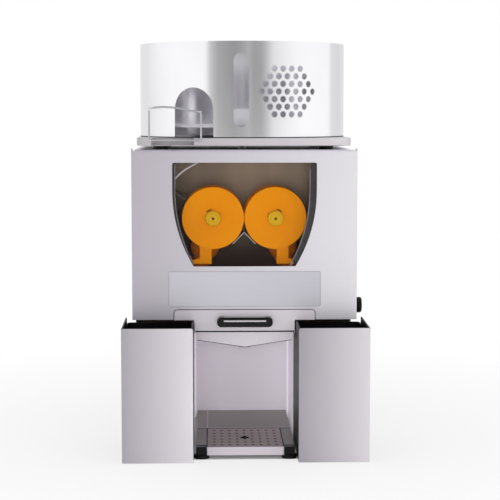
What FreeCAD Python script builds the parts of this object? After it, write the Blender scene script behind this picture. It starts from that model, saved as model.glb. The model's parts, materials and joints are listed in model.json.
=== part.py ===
import FreeCAD, Part
import math
import os

import Sketcher
from FreeCAD import Placement, Rotation, Vector

# Automatic orange juicer: a steel housing with a press behind a window, a
# round fruit feeder on top, a juice drawer, a glass recess and two peel buckets.
# Millimetres. X runs to the right, Y to the back, Z up, and the floor is Z = 0.

SIZES = {
    # whole machine
    "overall_wide": 470,
    "overall_deep": 620,
    "overall_tall": 800,
    "sheet": 1.5,
    "fit_gap": 0.3,
    "run_gap": 0.6,
    "overrun": 4,
    # housing
    "body_wide": 434,
    "cover_rise": 20,
    "cover_setback": 103,
    "cover_flange": 34,
    "leg_setback": 200,
    "housing_low": 6,
    "louvre_long": 108,
    "louvre_tall": 6,
    "louvre_pitch": 18,
    "louvre_offset": 87,
    "plate_setback": 131,
    "plate_thick": 4,
    "bearing_plate_setback": 171,
    # window, name plate
    "window_wide": 280,
    "window_narrow": 198,
    "window_drop": 22,
    "window_fall": 91.5,
    "window_straight": 55,
    "window_corner": 4,
    "pane_margin": 9,
    "pane_thick": 3,
    "label_wide": 296,
    "label_tall": 69,
    "label_rise": 46,
    "label_thick": 1.2,
    "label_corner": 4,
    "hinge_pin_radius": 1.6,
    "hinge_lug_radius": 3.5,
    "hinge_rise": 2,
    # juice drawer
    "drawer_wing": 38,
    "drawer_gap": 2,
    "drawer_rise": 40,
    "drawer_corner": 8,
    "drawer_step_rise": 19,
    "drawer_drop": 3,
    "tray_side_gap": 7,
    "tray_rim_drop": 2,
    "tray_edge_drop": 20,
    "tray_low_drop": 34,
    "tray_flange": 4,
    "spout_radius": 11,
    "spout_drop": 9,
    "spout_setback": 56,
    "tray_gap": 4,
    "rail_wide": 3,
    "rail_tall": 5,
    "rail_setback": 12,
    "handle_wide": 108,
    "handle_tall": 19,
    "handle_rise": 8,
    "handle_reach": 22,
    "handle_grip": 7,
    "handle_foot": 14,
    "handle_round": 2.3,
    "handle_corner": 8,
    # peel buckets
    "recess_wide": 200,
    "bucket_deep": 196,
    "bucket_rim_deep": 152,
    "bucket_rise": 18,
    "bucket_back_corner": 12,
    "bucket_lift": 0.5,
    "bucket_wall": 3,
    "bucket_plate": 1.2,
    "bucket_corner": 4,
    "bucket_back_drop": 16,
    # base with drip tray
    "base_gap": 5,
    "base_setback": 35,
    "base_top": 23,
    "base_low": 5.5,
    "base_arm": 22,
    "recess_back_setback": 380,
    "grille_deep": 166,
    "grille_thick": 1.5,
    "hole_radius": 2.2,
    "hole_pitch_deep": 25,
    "drain_radius": 8.2,
    "foot_pad_radius": 15,
    "foot_pad_tall": 7,
    "foot_cap_wide": 21,
    "foot_inset": 26,
    # press
    "gear_module": 4.375,
    "gear_wide": 16,
    "gear_backlash": 0.5,
    "gear_hub_radius": 16,
    "drum_drop": 132,
    "press_clearance": 6.4,
    "disc_gap": 1,
    "disc_setback": 35,
    "disc_thick": 5,
    "groove_wide": 10,
    "drum_long": 92,
    "drum_core_radius": 20,
    "cup_radius": 37,
    "ball_radius": 28.5,
    "ball_hub_radius": 27,
    "ball_post_radius": 15,
    "ball_post_flare": 3,
    "shaft_radius": 9,
    "knob_radius": 15,
    "knob_long": 18,
    "knob_neck": 1.5,
    "bearing_radius": 17,
    "bearing_wide": 7,
    "blade_thick": 1.5,
    "blade_edge": 3,
    "blade_drop": 16,
    "blade_apex_drop": 28,
    "blade_arm": 23,
    "roof_thick": 2.1,
    "finger_wide": 8,
    "finger_reach": 62.7,
    "motor_radius": 42,
    "motor_long": 120,
    "gearbox_long": 34,
    # fruit path
    "drop_hole_radius": 41,
    "drop_offset": 139,
    "drop_setback": 44,
    "chute_setback": 13,
    "chute_rise": 2.3,
    # feeder
    "slab_wide": 420,
    "slab_gap": 10,
    "spacer_setback": 100,
    "slab_thick": 15,
    "slab_setback": 110,
    "slab_corner": 44,
    "basket_radius": 210,
    "basket_tall": 187,
    "basket_sheet": 1.5,
    "arch_wide": 86,
    "arch_tall": 98,
    "arch_side": 100,
    "sight_wide": 30,
    "sight_tall": 142,
    "sight_offset": -6,
    "sight_rise": 22,
    "field_radius": 58,
    "field_rise": 90,
    "field_offset": 84,
    "field_hole_radius": 6.2,
    "field_pitch": 17,
    "rotor_radius": 200,
    "rotor_lift": 20,
    "rotor_thick": 4,
    "pocket_radius": 46,
    "pocket_circle": 168,
    "dome_radius": 62,
    "dome_tall": 34,
    "feeder_shaft_radius": 8,
    "feeder_motor_wide": 84,
    "feeder_motor_tall": 70,
    "wire_radius": 2,
    "guard_rise": 55,
    "guard_wide": 100,
    "guard_reach": 14,
    "guard_bend": 11,
    "guard_margin": 14,
    # electrics
    "switch_radius": 15.5,
    "switch_reach": 17,
    "switch_rise": 41,
    "switch_setback": 160,
    "switch_round": 4,
    "box_wide": 150,
    "box_tall": 110,
    "box_deep": 60,
    "inlet_wide": 48,
    "inlet_tall": 28,
    "inlet_deep": 22,
}

# Counts, angles and shares.
GEAR_TEETH = 28
PINION_TEETH = 14
PRESSURE_ANGLE = 20
LOWER_DRUM_ANGLE = 75
PINION_ANGLE = 20
CUPS = 3
HOLE_COLUMNS = 9
HOLE_ROWS = 6
PLAIN_COLUMNS = 0.75
LOUVRE_ROWS = 6
ROOT_DEPTH_MODULES = 1.25
ROTOR_POCKETS = 6


# A size knows its number and the spreadsheet expression that gives it.
class Size:
    def __init__(self, text, number):
        self.text = text
        self.number = number

    def __add__(self, other):
        other = as_size(other)
        return Size(f"({self.text} + {other.text})", self.number + other.number)

    def __sub__(self, other):
        other = as_size(other)
        return Size(f"({self.text} - {other.text})", self.number - other.number)

    def __mul__(self, other):
        other = as_size(other)
        return Size(f"({self.text} * {other.text})", self.number * other.number)

    def __truediv__(self, other):
        other = as_size(other)
        return Size(f"({self.text} / {other.text})", self.number / other.number)

    def __rsub__(self, other):
        return as_size(other) - self

    def __neg__(self):
        return as_size(0) - self

    def __float__(self):
        return self.number

    __radd__ = __add__
    __rmul__ = __mul__


def as_size(value):
    if isinstance(value, Size):
        return value
    return Size(f"({float(value)!r})", float(value))


# The driving dimensions, one row of the sheet each.
class Sizes:
    def __init__(self, table):
        self.table = table
        for row, (alias, number) in enumerate(table.items(), start=1):
            sheet.set(f"A{row}", alias)
            sheet.set(f"B{row}", str(number))
            sheet.setAlias(f"B{row}", alias)

    def __getattr__(self, alias):
        return Size(f"sizes.{alias}", float(self.table[alias]))


doc = FreeCAD.newDocument("orange_juicer")
sheet = doc.addObject("Spreadsheet::Sheet", "sizes")
s = Sizes(SIZES)
doc.recompute()

nodes = {}
AXIS_TURNS = {
    "x": Rotation(Vector(0, 1, 0), 90),
    "y": Rotation(Vector(1, 0, 0), -90),
    "z": Rotation(),
}


# The finished solid of a sub-part: its label names the file.
def keep(piece, name):
    piece.Label = name
    nodes[name] = piece
    return piece


def new(kind, name):
    return doc.addObject(kind, name)


def bind(piece, prop, value):
    piece.setExpression(prop, as_size(value).text)


def put(piece, at, turn="z"):
    piece.Placement = Placement(Vector(*[float(value) for value in at]), AXIS_TURNS[turn])
    for axis, value in zip("xyz", at):
        bind(piece, f".Placement.Base.{axis}", value)
    return piece


# A box between its lowest and highest corners.
def block(name, low, high):
    piece = new("Part::Box", name)
    for prop, start, end in zip(("Length", "Width", "Height"), low, high):
        bind(piece, prop, as_size(end) - start)
    return put(piece, low)


# A cylinder that starts at a point and runs along an axis.
def rod(name, axis, radius, start, length):
    piece = new("Part::Cylinder", name)
    bind(piece, "Radius", radius)
    bind(piece, "Height", length)
    return put(piece, start, axis)


def fuse(name, *shapes):
    piece = new("Part::MultiFuse", name)
    piece.Shapes = list(shapes)
    return piece


def cut(name, base, *tools):
    piece = new("Part::Cut", name)
    piece.Base = base
    piece.Tool = tools[0] if len(tools) == 1 else fuse(f"{name}_tools", *tools)
    return piece


# Separate solids that share one node.
def group(name, *shapes):
    piece = new("Part::Compound", name)
    piece.Links = list(shapes)
    return piece


# A shape made with Part's own functions, for forms that the others don't fit.
def formed(name, shape):
    piece = new("Part::Feature", name)
    piece.Shape = shape
    return keep(piece, name)


def origin_plane(body, role):
    return next(item for item in body.Origin.OriginFeatures if item.Role == role)


# A sheet or bar: a closed outline of straight lines on one of the body's planes,
# padded from one level to another. Each corner is held by two bound distances.
def profile(name, plane, corners, start, end):
    body = new("PartDesign::Body", name)
    sketch = body.newObject("Sketcher::SketchObject", f"{name}_outline")
    sketch.AttachmentSupport = [(origin_plane(body, f"{plane}_Plane"), "")]
    sketch.MapMode = "FlatFace"
    points = [Vector(float(across), float(up), 0) for across, up in corners]
    count = len(points)
    for index in range(count):
        line = Part.LineSegment(points[index], points[(index + 1) % count])
        sketch.addGeometry(line, False)
    for index in range(count):
        following = (index + 1) % count
        sketch.addConstraint(Sketcher.Constraint("Coincident", index, 2, following, 1))
    for index, corner in enumerate(corners):
        for kind, value in zip(("DistanceX", "DistanceY"), corner):
            rule = Sketcher.Constraint(kind, -1, 1, index, 1, float(value))
            number = sketch.addConstraint(rule)
            sketch.setExpression(f"Constraints[{number}]", as_size(value).text)
    towards = -1 if plane == "XZ" else 1
    bind(sketch, ".AttachmentOffset.Base.z", as_size(start) * towards)
    pad = body.newObject("PartDesign::Pad", f"{name}_pad")
    pad.Profile = sketch
    pad.Reversed = plane == "XZ"
    bind(pad, "Length", as_size(end) - start)
    body.Tip = pad
    return body


# The same outline, mirrored to the left side.
def mirrored(corners):
    return [(-as_size(across), up) for across, up in reversed(corners)]


def wire_path(points, radius):
    """Straight runs joined by arcs of one radius."""
    edges = []
    last = points[0]
    for before, corner, after in zip(points, points[1:], points[2:]):
        into = (corner - before).normalize()
        out = (after - corner).normalize()
        turn = into.getAngle(out)
        back = radius * math.tan(turn / 2)
        first = corner - into * back
        second = corner + out * back
        bisector = (out - into).normalize()
        middle = corner + bisector * (radius / math.cos(turn / 2) - radius)
        edges.append(Part.LineSegment(last, first).toShape())
        edges.append(Part.Arc(first, middle, second).toShape())
        last = second
    edges.append(Part.LineSegment(last, points[-1]).toShape())
    return Part.Wire(edges)


def bent_wire(points, bend, radius):
    """A round wire along a path of runs and bends."""
    path = wire_path(points, bend)
    start = points[0]
    towards = (points[1] - points[0]).normalize()
    ring = Part.Wire([Part.Circle(start, towards, radius).toShape()])
    return path.makePipeShell([ring], True, False)


def solid_outline(edges, depth):
    """A prism from closed edges, pushed along a vector."""
    return Part.Face(Part.Wire(edges)).extrude(depth)


y_axis = Vector(0, 1, 0)

# Heights, from the top down: the basket stands on the housing, the drums hang
# below its top, and the deck, the drawer and the buckets hang below the drums.
body_top = s.overall_tall - s.basket_tall - s.slab_thick - s.slab_gap
slab_low = body_top + s.slab_gap
slab_top = slab_low + s.slab_thick
drum_height = body_top - s.drum_drop
spacing = s.gear_module * GEAR_TEETH
lower_turn = math.radians(LOWER_DRUM_ANGLE)
lower_x = spacing / 2 + spacing * math.cos(lower_turn)
lower_z = drum_height - spacing * math.sin(lower_turn)
deck_top = lower_z - spacing / 2 - s.ball_radius - s.press_clearance
deck_low = deck_top - s.sheet
cover_low = deck_low + s.cover_rise
window_top = body_top - s.window_drop
window_low = drum_height - s.window_fall
label_low = deck_low + s.label_rise
drawer_top = deck_low + s.drawer_rise
drawer_step = deck_low + s.drawer_step_rise
drawer_low = deck_low - s.drawer_drop
tray_rim = deck_low - s.tray_rim_drop
tray_edge_low = deck_low - s.tray_edge_drop
tray_low = deck_low - s.tray_low_drop
handle_low = deck_low + s.handle_rise
bucket_top = deck_low + s.bucket_rise
switch_height = deck_low + s.switch_rise
blade_top = drum_height - s.blade_drop
blade_apex = drum_height - s.blade_apex_drop
sight_low = slab_top + s.sight_rise
field_height = slab_top + s.field_rise
guard_top = slab_top + s.guard_rise

# Planes that several pieces share.
front = -s.overall_deep / 2
back = s.overall_deep / 2
cover_front = front + s.cover_setback
cover_back = cover_front + s.sheet
leg_front = front + s.leg_setback
plate_front = cover_front + s.plate_setback
plate_back = plate_front + s.plate_thick
bearing_front = cover_front + s.bearing_plate_setback
body_half = s.body_wide / 2
inner_half = body_half - s.sheet - s.fit_gap
side_inner = body_half - s.sheet
rear_front = back - s.sheet
recess_half = s.recess_wide / 2
recess_back = front + s.recess_back_setback
panel_top = body_top
panel_low = body_top - s.sheet


# The cover's pivot stands just above its top edge, in a lug at each side.
hinge_y = cover_back + s.hinge_lug_radius
hinge_z = panel_top + s.hinge_rise
play = s.fit_gap / 6


def lug(name, low, wide):
    """A round ear that stands on an edge, and the pin's hole through it."""
    ear = rod(f"{name}_ear", "x", s.hinge_lug_radius, (low, hinge_y, hinge_z), wide)
    hole = rod(
        f"{name}_hole", "x", s.hinge_pin_radius + play,
        (low - s.overrun, hinge_y, hinge_z), wide + 2 * s.overrun,
    )
    return ear, hole


# Side panels: full height at the back, and only above the buckets in front.
def side_panel(name, low, high):
    corners = [
        (cover_back + s.fit_gap, cover_low),
        (leg_front, cover_low),
        (leg_front, s.housing_low),
        (rear_front - s.fit_gap, s.housing_low),
        (rear_front - s.fit_gap, panel_top),
        (cover_back + s.fit_gap, panel_top),
    ]
    ear, hole = lug(name, low, high - low)
    sheet_body = profile(f"{name}_sheet", "YZ", corners, low, high)
    return cut(f"{name}_cut", fuse(f"{name}_with_ear", sheet_body, ear), hole)


left_panel = side_panel("left_panel", -body_half, -side_inner)
right_panel = side_panel("right_panel", side_inner, body_half)
keep(group("side_panel_pair", left_panel, right_panel), "side_panels")

drop_x = -s.drop_offset
drop_y = cover_front + s.drop_setback

# Top panel, with the hole that the fruit drops through.
top_sheet = block(
    "top_sheet", (-side_inner, cover_back + s.fit_gap, panel_low),
    (side_inner, rear_front - s.fit_gap, panel_top),
)
through_top = s.sheet + 2 * s.overrun
top_hole_at = (drop_x, drop_y, panel_low - s.overrun)
top_hole = rod("top_hole", "z", s.drop_hole_radius, top_hole_at, through_top)
feeder_y = front + s.slab_setback + s.basket_radius + s.basket_sheet * 2
shaft_hole = rod(
    "top_shaft_hole", "z", s.feeder_shaft_radius + s.run_gap,
    (0, feeder_y, panel_low - s.overrun), through_top,
)
keep(cut("top_panel_cut", top_sheet, top_hole, shaft_hole), "top_panel")

# Press wall that carries the drums, and the bearing plate behind the gears.
pinion_reach = s.gear_module * (GEAR_TEETH + PINION_TEETH) / 2
pinion_turn = math.radians(PINION_ANGLE)
pinion_x = spacing / 2 + pinion_reach * math.cos(pinion_turn)
pinion_z = drum_height + pinion_reach * math.sin(pinion_turn)
SHAFT_PLACES = {
    "upper_left": (-spacing / 2, drum_height),
    "upper_right": (spacing / 2, drum_height),
    "lower_left": (-lower_x, lower_z),
    "lower_right": (lower_x, lower_z),
}


def bored_plate(name, plane_front, low, radius, motor_radius):
    far_corner = (inner_half, plane_front + s.plate_thick, panel_low - s.fit_gap)
    sheet_body = block(f"{name}_sheet", (-inner_half, plane_front, low), far_corner)
    holes = []
    for place, (x, z) in SHAFT_PLACES.items():
        start = (x, plane_front - s.overrun, z)
        holes.append(rod(f"{name}_{place}", "y", radius, start, s.plate_thick + 2 * s.overrun))
    if motor_radius is not None:
        start = (pinion_x, plane_front - s.overrun, pinion_z)
        holes.append(rod(f"{name}_motor", "y", motor_radius, start, s.plate_thick + 2 * s.overrun))
    keep(cut(f"{name}_cut", sheet_body, *holes), name)


bored_plate("press_wall", plate_front, deck_top, s.bearing_radius, None)
bored_plate("bearing_plate", bearing_front, deck_top, s.bearing_radius, s.gear_hub_radius)

# Deck under the press: open in the middle over the juice tray.
tray_half = recess_half - s.tray_side_gap
deck_corners = [
    (-side_inner, leg_front + s.sheet),
    (-recess_half, leg_front + s.sheet),
    (-recess_half, plate_front),
    (recess_half, plate_front),
    (recess_half, leg_front + s.sheet),
    (side_inner, leg_front + s.sheet),
    (side_inner, rear_front - s.fit_gap),
    (-side_inner, rear_front - s.fit_gap),
]
keep(profile("deck_plate_sheet", "XY", deck_corners, deck_low, deck_top), "deck_plate")

# Lower front shell: one bent sheet round the glass recess.
shell_corners = [
    (-side_inner, leg_front),
    (-recess_half, leg_front),
    (-recess_half, recess_back),
    (recess_half, recess_back),
    (recess_half, leg_front),
    (side_inner, leg_front),
    (side_inner, leg_front + s.sheet),
    (recess_half + s.sheet, leg_front + s.sheet),
    (recess_half + s.sheet, recess_back + s.sheet),
    (-recess_half - s.sheet, recess_back + s.sheet),
    (-recess_half - s.sheet, leg_front + s.sheet),
    (-side_inner, leg_front + s.sheet),
]
keep(profile("lower_shell_sheet", "XY", shell_corners, s.housing_low + s.sheet, deck_low), "recess_shell")

floor_corners = [
    (-side_inner, leg_front),
    (-recess_half, leg_front),
    (-recess_half, recess_back),
    (recess_half, recess_back),
    (recess_half, leg_front),
    (side_inner, leg_front),
    (side_inner, rear_front - s.fit_gap),
    (-side_inner, rear_front - s.fit_gap),
]
keep(profile("floor_sheet", "XY", floor_corners, s.housing_low, s.housing_low + s.sheet), "bottom_plate")

# Rear cover with rows of louvre slots and the opening for the mains inlet.
rear_sheet = block("rear_sheet", (-body_half, rear_front, s.housing_low), (body_half, back, panel_top))
inlet_x = -body_half + s.inlet_wide
inlet_z = s.housing_low + 2 * s.inlet_tall
inlet_low = (inlet_x - s.inlet_wide / 2, rear_front - s.overrun, inlet_z)
inlet_high = (inlet_x + s.inlet_wide / 2, back + s.overrun, inlet_z + s.inlet_tall)
rear_cuts = [block("inlet_opening", inlet_low, inlet_high)]
for row in range(LOUVRE_ROWS):
    for side in (-1, 1):
        middle = side * s.louvre_offset
        low = drum_height + s.louvre_pitch * (row - LOUVRE_ROWS / 2)
        corner = (middle - s.louvre_long / 2, rear_front - s.overrun, low)
        far = (middle + s.louvre_long / 2, back + s.overrun, low + s.louvre_tall)
        rear_cuts.append(block(f"louvre_{row}_{side + 1}", corner, far))
keep(cut("rear_cover_cut", rear_sheet, *rear_cuts), "rear_cover")


# Front cover: a shallow pan with the window, hinged at its top corners.
def arc_window(grow, y, depth):
    """The window's outline: straight at the top, drawn in by arcs below."""
    wide = float(s.window_wide) / 2 + grow
    narrow = float(s.window_narrow) / 2 + grow
    top = float(window_top) + grow
    low = float(window_low) - grow
    shoulder = float(window_top) - float(s.window_straight)
    drawn = wide - narrow
    fall = shoulder - low
    radius = (drawn ** 2 + fall ** 2) / (2 * drawn)
    half_way = math.asin(fall / radius) / 2
    side = wide - radius + radius * math.cos(half_way)
    level = shoulder - radius * math.sin(half_way)
    points = [(wide, top), (wide, shoulder), (side, level), (narrow, low)]
    right = [Vector(x, y, z) for x, z in points]
    left = [Vector(-x, y, z) for x, z in points]
    edges = [
        Part.LineSegment(left[0], right[0]).toShape(),
        Part.LineSegment(right[0], right[1]).toShape(),
        Part.Arc(right[1], right[2], right[3]).toShape(),
        Part.LineSegment(right[3], left[3]).toShape(),
        Part.Arc(left[3], left[2], left[1]).toShape(),
        Part.LineSegment(left[1], left[0]).toShape(),
    ]
    return solid_outline(edges, Vector(0, depth, 0))


cover_top = panel_top
drawer_half = recess_half + s.drawer_wing
cover_outer = block(
    "cover_outer", (-body_half - s.fit_gap - s.sheet, cover_front, cover_low),
    (body_half + s.fit_gap + s.sheet, cover_front + s.cover_flange, cover_top),
)
cover_inside = block(
    "cover_inside", (-body_half - s.fit_gap, cover_back, cover_low - s.overrun),
    (body_half + s.fit_gap, cover_front + s.cover_flange + s.overrun, cover_top + s.overrun),
)
cover_notch = block(
    "cover_notch", (-drawer_half - s.run_gap, cover_front - s.overrun, cover_low - s.overrun),
    (drawer_half + s.run_gap, cover_back + s.overrun, drawer_top + s.run_gap),
)
ear_left, ear_hole_left = lug("cover_left", -body_half - s.fit_gap - s.sheet, s.sheet)
ear_right, ear_hole_right = lug("cover_right", body_half + s.fit_gap, s.sheet)
cover_shell = cut("cover_shell", cover_outer, cover_inside)
cover_with_ears = fuse("cover_with_ears", cover_shell, ear_left, ear_right)
cover_pan = cut("cover_pan", cover_with_ears, ear_hole_left, ear_hole_right)
doc.recompute()
window_tool = arc_window(0, float(cover_front - s.overrun), float(s.sheet + 2 * s.overrun))
top_level = float(window_top - s.overrun)
short = float(s.sheet + 3 * s.overrun)
corner_edges = [
    edge for edge in window_tool.Edges
    if edge.Length < short and edge.BoundBox.ZMax > top_level
]
window_tool = window_tool.makeFillet(float(s.window_corner), corner_edges)
cover_shape = cover_pan.Shape.cut(window_tool)

# The sheet beside the drawer is a welded corner piece on each side.
seam_level = float(drawer_top + s.run_gap)
cover_wide = float(2 * body_half + 4 * s.sheet)
cover_deep = float(s.cover_flange + 2 * s.overrun)
band_at = Vector(-cover_wide / 2, float(cover_front - s.overrun), float(cover_low - s.overrun))
band = Part.makeBox(cover_wide, cover_deep, seam_level - band_at.z, band_at)
formed("cover_corners", cover_shape.common(band).cut(cover_notch.Shape))
formed("front_cover", cover_shape.cut(band))

pane_y = cover_back + s.fit_gap / 3
formed("window_pane", arc_window(float(s.pane_margin), float(pane_y), float(s.pane_thick)))

label_block = block(
    "label_block", (-s.label_wide / 2, cover_front - s.label_thick, label_low),
    (s.label_wide / 2, cover_front, label_low + s.label_tall),
)
doc.recompute()
label_edges = [edge for edge in label_block.Shape.Edges if edge.Length < float(s.label_thick) * 2]
formed("name_plate", label_block.Shape.makeFillet(float(s.label_corner), label_edges))

hinge_pins = []
for side, at in (("left", -body_half - s.fit_gap - s.sheet), ("right", side_inner)):
    start = (at, hinge_y, hinge_z)
    hinge_pins.append(rod(f"hinge_pin_{side}", "x", s.hinge_pin_radius, start, 2 * s.sheet + s.fit_gap))
keep(group("cover_hinge_pins_pair", *hinge_pins), "cover_hinge_pins")


# Juice drawer: a front with an apron below it, a V-bottomed tray behind it and its rails.
narrow_half = recess_half - s.drawer_gap
drawer_sheet = block(
    "drawer_front_sheet", (-drawer_half, cover_front, drawer_step), (drawer_half, cover_back, drawer_top),
)
keep(block(
    "drawer_apron_sheet", (-narrow_half, cover_front, drawer_low), (narrow_half, cover_back, drawer_step),
), "drawer_apron")
doc.recompute()
upper_corners = [
    edge for edge in drawer_sheet.Shape.Edges
    if edge.BoundBox.ZMin > float(drawer_top - s.fit_gap) and edge.Length < float(s.sheet + s.fit_gap)
]
formed("drawer_front", drawer_sheet.Shape.makeFillet(float(s.drawer_corner), upper_corners))

handle_half = s.handle_wide / 2
handle_outer = block(
    "handle_outer", (-handle_half, cover_front - s.handle_reach, handle_low),
    (handle_half, cover_front, handle_low + s.handle_tall),
)
handle_slot = block(
    "handle_slot",
    (-handle_half + s.handle_foot, cover_front - s.handle_reach + s.handle_grip, handle_low - s.overrun),
    (handle_half - s.handle_foot, cover_front + s.overrun, handle_low + s.handle_tall + s.overrun),
)
doc.recompute()
handle_ends = [
    edge for edge in handle_outer.Shape.Edges
    if edge.BoundBox.YLength > float(s.handle_reach - s.fit_gap)
]
handle_pill = handle_outer.Shape.makeFillet(float(s.handle_corner), handle_ends)
handle_face = float(cover_front - s.handle_reach + s.fit_gap)
handle_edges = [edge for edge in handle_pill.Edges if edge.BoundBox.YMax < handle_face]
handle_pill = handle_pill.makeFillet(float(s.handle_round), handle_edges)
formed("drawer_handle", handle_pill.cut(handle_slot.Shape))

tray_front = cover_back
tray_back = plate_front - s.tray_gap
tray_outline = [
    (-tray_half, tray_rim), (-tray_half, tray_edge_low), (0, tray_low),
    (tray_half, tray_edge_low), (tray_half, tray_rim),
]
tray_outer = profile("tray_outer", "XZ", tray_outline, tray_front, tray_back)
tray_hollow_outline = [
    (-tray_half + s.sheet, tray_rim + s.overrun), (-tray_half + s.sheet, tray_edge_low + s.sheet),
    (0, tray_low + s.sheet),
    (tray_half - s.sheet, tray_edge_low + s.sheet), (tray_half - s.sheet, tray_rim + s.overrun),
]
tray_hollow = profile("tray_hollow", "XZ", tray_hollow_outline, tray_front + s.sheet, tray_back - s.sheet)
lip_top = drawer_low - s.fit_gap
tray_lip_outline = [
    (-tray_half, lip_top), (-tray_half, tray_edge_low), (0, tray_low),
    (tray_half, tray_edge_low), (tray_half, lip_top),
]
tray_lip = profile("tray_lip", "XZ", tray_lip_outline, cover_front, cover_back)
flange_half = tray_half + s.tray_flange
tray_flanges = []
for name, low_x, high_x in (("left", -flange_half, -tray_half), ("right", tray_half, flange_half)):
    flange_low = (low_x, tray_front, tray_rim - s.sheet)
    tray_flanges.append(block(f"tray_flange_{name}", flange_low, (high_x, tray_back, tray_rim)))
spout_y = cover_front + s.spout_setback
spout_low = tray_low - s.spout_drop
spout_long = s.spout_drop + s.sheet * 2
spout = rod("spout_tube", "z", s.spout_radius, (0, spout_y, spout_low), spout_long)
spout_bore = rod(
    "spout_bore", "z", s.spout_radius - s.sheet, (0, spout_y, spout_low - s.overrun),
    spout_long + 2 * s.overrun,
)
tray_with_spout = fuse("tray_with_spout", tray_outer, tray_lip, spout, *tray_flanges)
keep(cut("tray_shell", tray_with_spout, tray_hollow, spout_bore), "juice_tray")

rails = []
for name, side in (("drawer_rail_left", -1), ("drawer_rail_right", 1)):
    inner = recess_half - s.fit_gap
    ends = sorted((side * inner, side * (inner - s.rail_wide)), key=float)
    top = tray_rim - s.sheet - s.fit_gap
    low = (ends[0], cover_back + s.rail_setback, top - s.rail_tall)
    rails.append(block(f"{name}_bar", low, (ends[1], plate_front + s.plate_thick, top)))
keep(group("rail_pair", *rails), "drawer_rails")


# Peel buckets: plastic tubs with a steel front plate. The rim is lower at the
# back, where the tubs stand under the ball drums.
bucket_back = front + s.bucket_deep
half_wide = s.overall_wide / 2
for side_name, side in (("left", -1), ("right", 1)):
    edges = sorted((side * recess_half, side * half_wide), key=float)
    tub = block(
        f"tub_{side_name}", (edges[0], front + s.bucket_plate, s.bucket_lift),
        (edges[1], bucket_back, bucket_top),
    )
    hollow = block(
        f"tub_hollow_{side_name}",
        (edges[0] + s.bucket_wall, front + s.bucket_plate + s.bucket_wall, s.bucket_lift + s.bucket_wall),
        (edges[1] - s.bucket_wall, bucket_back - s.bucket_wall, bucket_top + s.overrun),
    )
    dropped = block(
        f"tub_dropped_{side_name}",
        (edges[0] - s.overrun, front + s.bucket_rim_deep, bucket_top - s.bucket_back_drop),
        (edges[1] + s.overrun, bucket_back + s.overrun, bucket_top + s.overrun),
    )
    doc.recompute()
    tub_shape = tub.Shape
    hollow_shape = hollow.Shape
    corner_level = float(bucket_back - s.bucket_wall - s.fit_gap)
    corner = float(s.bucket_back_corner)
    back_edges = [
        edge for edge in tub_shape.Edges
        if edge.BoundBox.YMin > corner_level and edge.BoundBox.XLength < float(s.fit_gap)
    ]
    tub_shape = tub_shape.makeFillet(corner, back_edges)
    back_edges = [
        edge for edge in hollow_shape.Edges
        if edge.BoundBox.YMin > corner_level and edge.BoundBox.XLength < float(s.fit_gap)
    ]
    hollow_shape = hollow_shape.makeFillet(corner - float(s.bucket_wall), back_edges)
    formed(f"bucket_{side_name}", tub_shape.cut(hollow_shape).cut(dropped.Shape))
    plate = block(
        f"bucket_sheet_{side_name}", (edges[0], front, s.bucket_lift),
        (edges[1], front + s.bucket_plate, bucket_top),
    )
    doc.recompute()
    plate_edges = [edge for edge in plate.Shape.Edges if edge.Length < float(s.bucket_plate) * 2]
    formed(f"bucket_plate_{side_name}", plate.Shape.makeFillet(float(s.bucket_corner), plate_edges))


# Base: a low frame that runs back under the machine, with the drip tray in it.
base_half = recess_half - s.base_gap
base_front = front + s.base_setback
grille_back = base_front + s.grille_deep
arm_inner = base_half - s.base_arm
frame_corners = [
    (-base_half, base_front),
    (-arm_inner, base_front),
    (-arm_inner, grille_back),
    (arm_inner, grille_back),
    (arm_inner, base_front),
    (base_half, base_front),
    (base_half, recess_back),
    (-base_half, recess_back),
]
cap_deep = s.foot_cap_wide
frame_solid = profile("base_frame_solid", "XY", frame_corners, s.foot_pad_tall, s.base_top)
frame_hollow = block(
    "base_frame_hollow", (-base_half + s.sheet, grille_back + s.sheet, s.base_low - s.overrun),
    (base_half - s.sheet, recess_back - s.sheet, s.base_top - s.sheet),
)
caps_room = [
    block(
        f"cap_room_{side + 1}",
        (side * (base_half - cap_deep / 2) - cap_deep / 2, base_front - s.overrun, s.base_low - s.overrun),
        (side * (base_half - cap_deep / 2) + cap_deep / 2, base_front + cap_deep, s.base_top + s.overrun),
    )
    for side in (-1, 1)
]
keep(cut("base_frame_cut", frame_solid, frame_hollow, *caps_room), "base_frame")

tray_gap = s.fit_gap * 2
grille_half = arm_inner - tray_gap
grille = block(
    "grille_sheet", (-grille_half, base_front, s.base_top - s.grille_thick),
    (grille_half, grille_back - tray_gap, s.base_top),
)
lip = block(
    "grille_lip", (-grille_half, base_front, s.foot_pad_tall),
    (grille_half, base_front + s.grille_thick, s.base_top),
)
doc.recompute()
grille_shape = grille.Shape.fuse(lip.Shape).removeSplitter()
hole_start = float(s.base_top - s.grille_thick - s.overrun)
hole_deep = float(s.grille_thick + 2 * s.overrun)
pitch_across = 2 * float(arm_inner) / (HOLE_COLUMNS + PLAIN_COLUMNS)
first_x = -pitch_across * (HOLE_COLUMNS - 1) / 2
first_y = float(base_front + s.hole_pitch_deep * 3 / 4)
holes = []
for column in range(HOLE_COLUMNS):
    for row in range(HOLE_ROWS):
        at = Vector(
            first_x + column * pitch_across,
            first_y + row * float(s.hole_pitch_deep),
            hole_start,
        )
        holes.append(Part.makeCylinder(float(s.hole_radius), hole_deep, at))
drain_at = Vector(0, first_y + (HOLE_ROWS - 1) / 2 * float(s.hole_pitch_deep), hole_start)
holes.append(Part.makeCylinder(float(s.drain_radius), hole_deep, drain_at))
formed("drip_grille", grille_shape.cut(Part.makeCompound(holes)))

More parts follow.
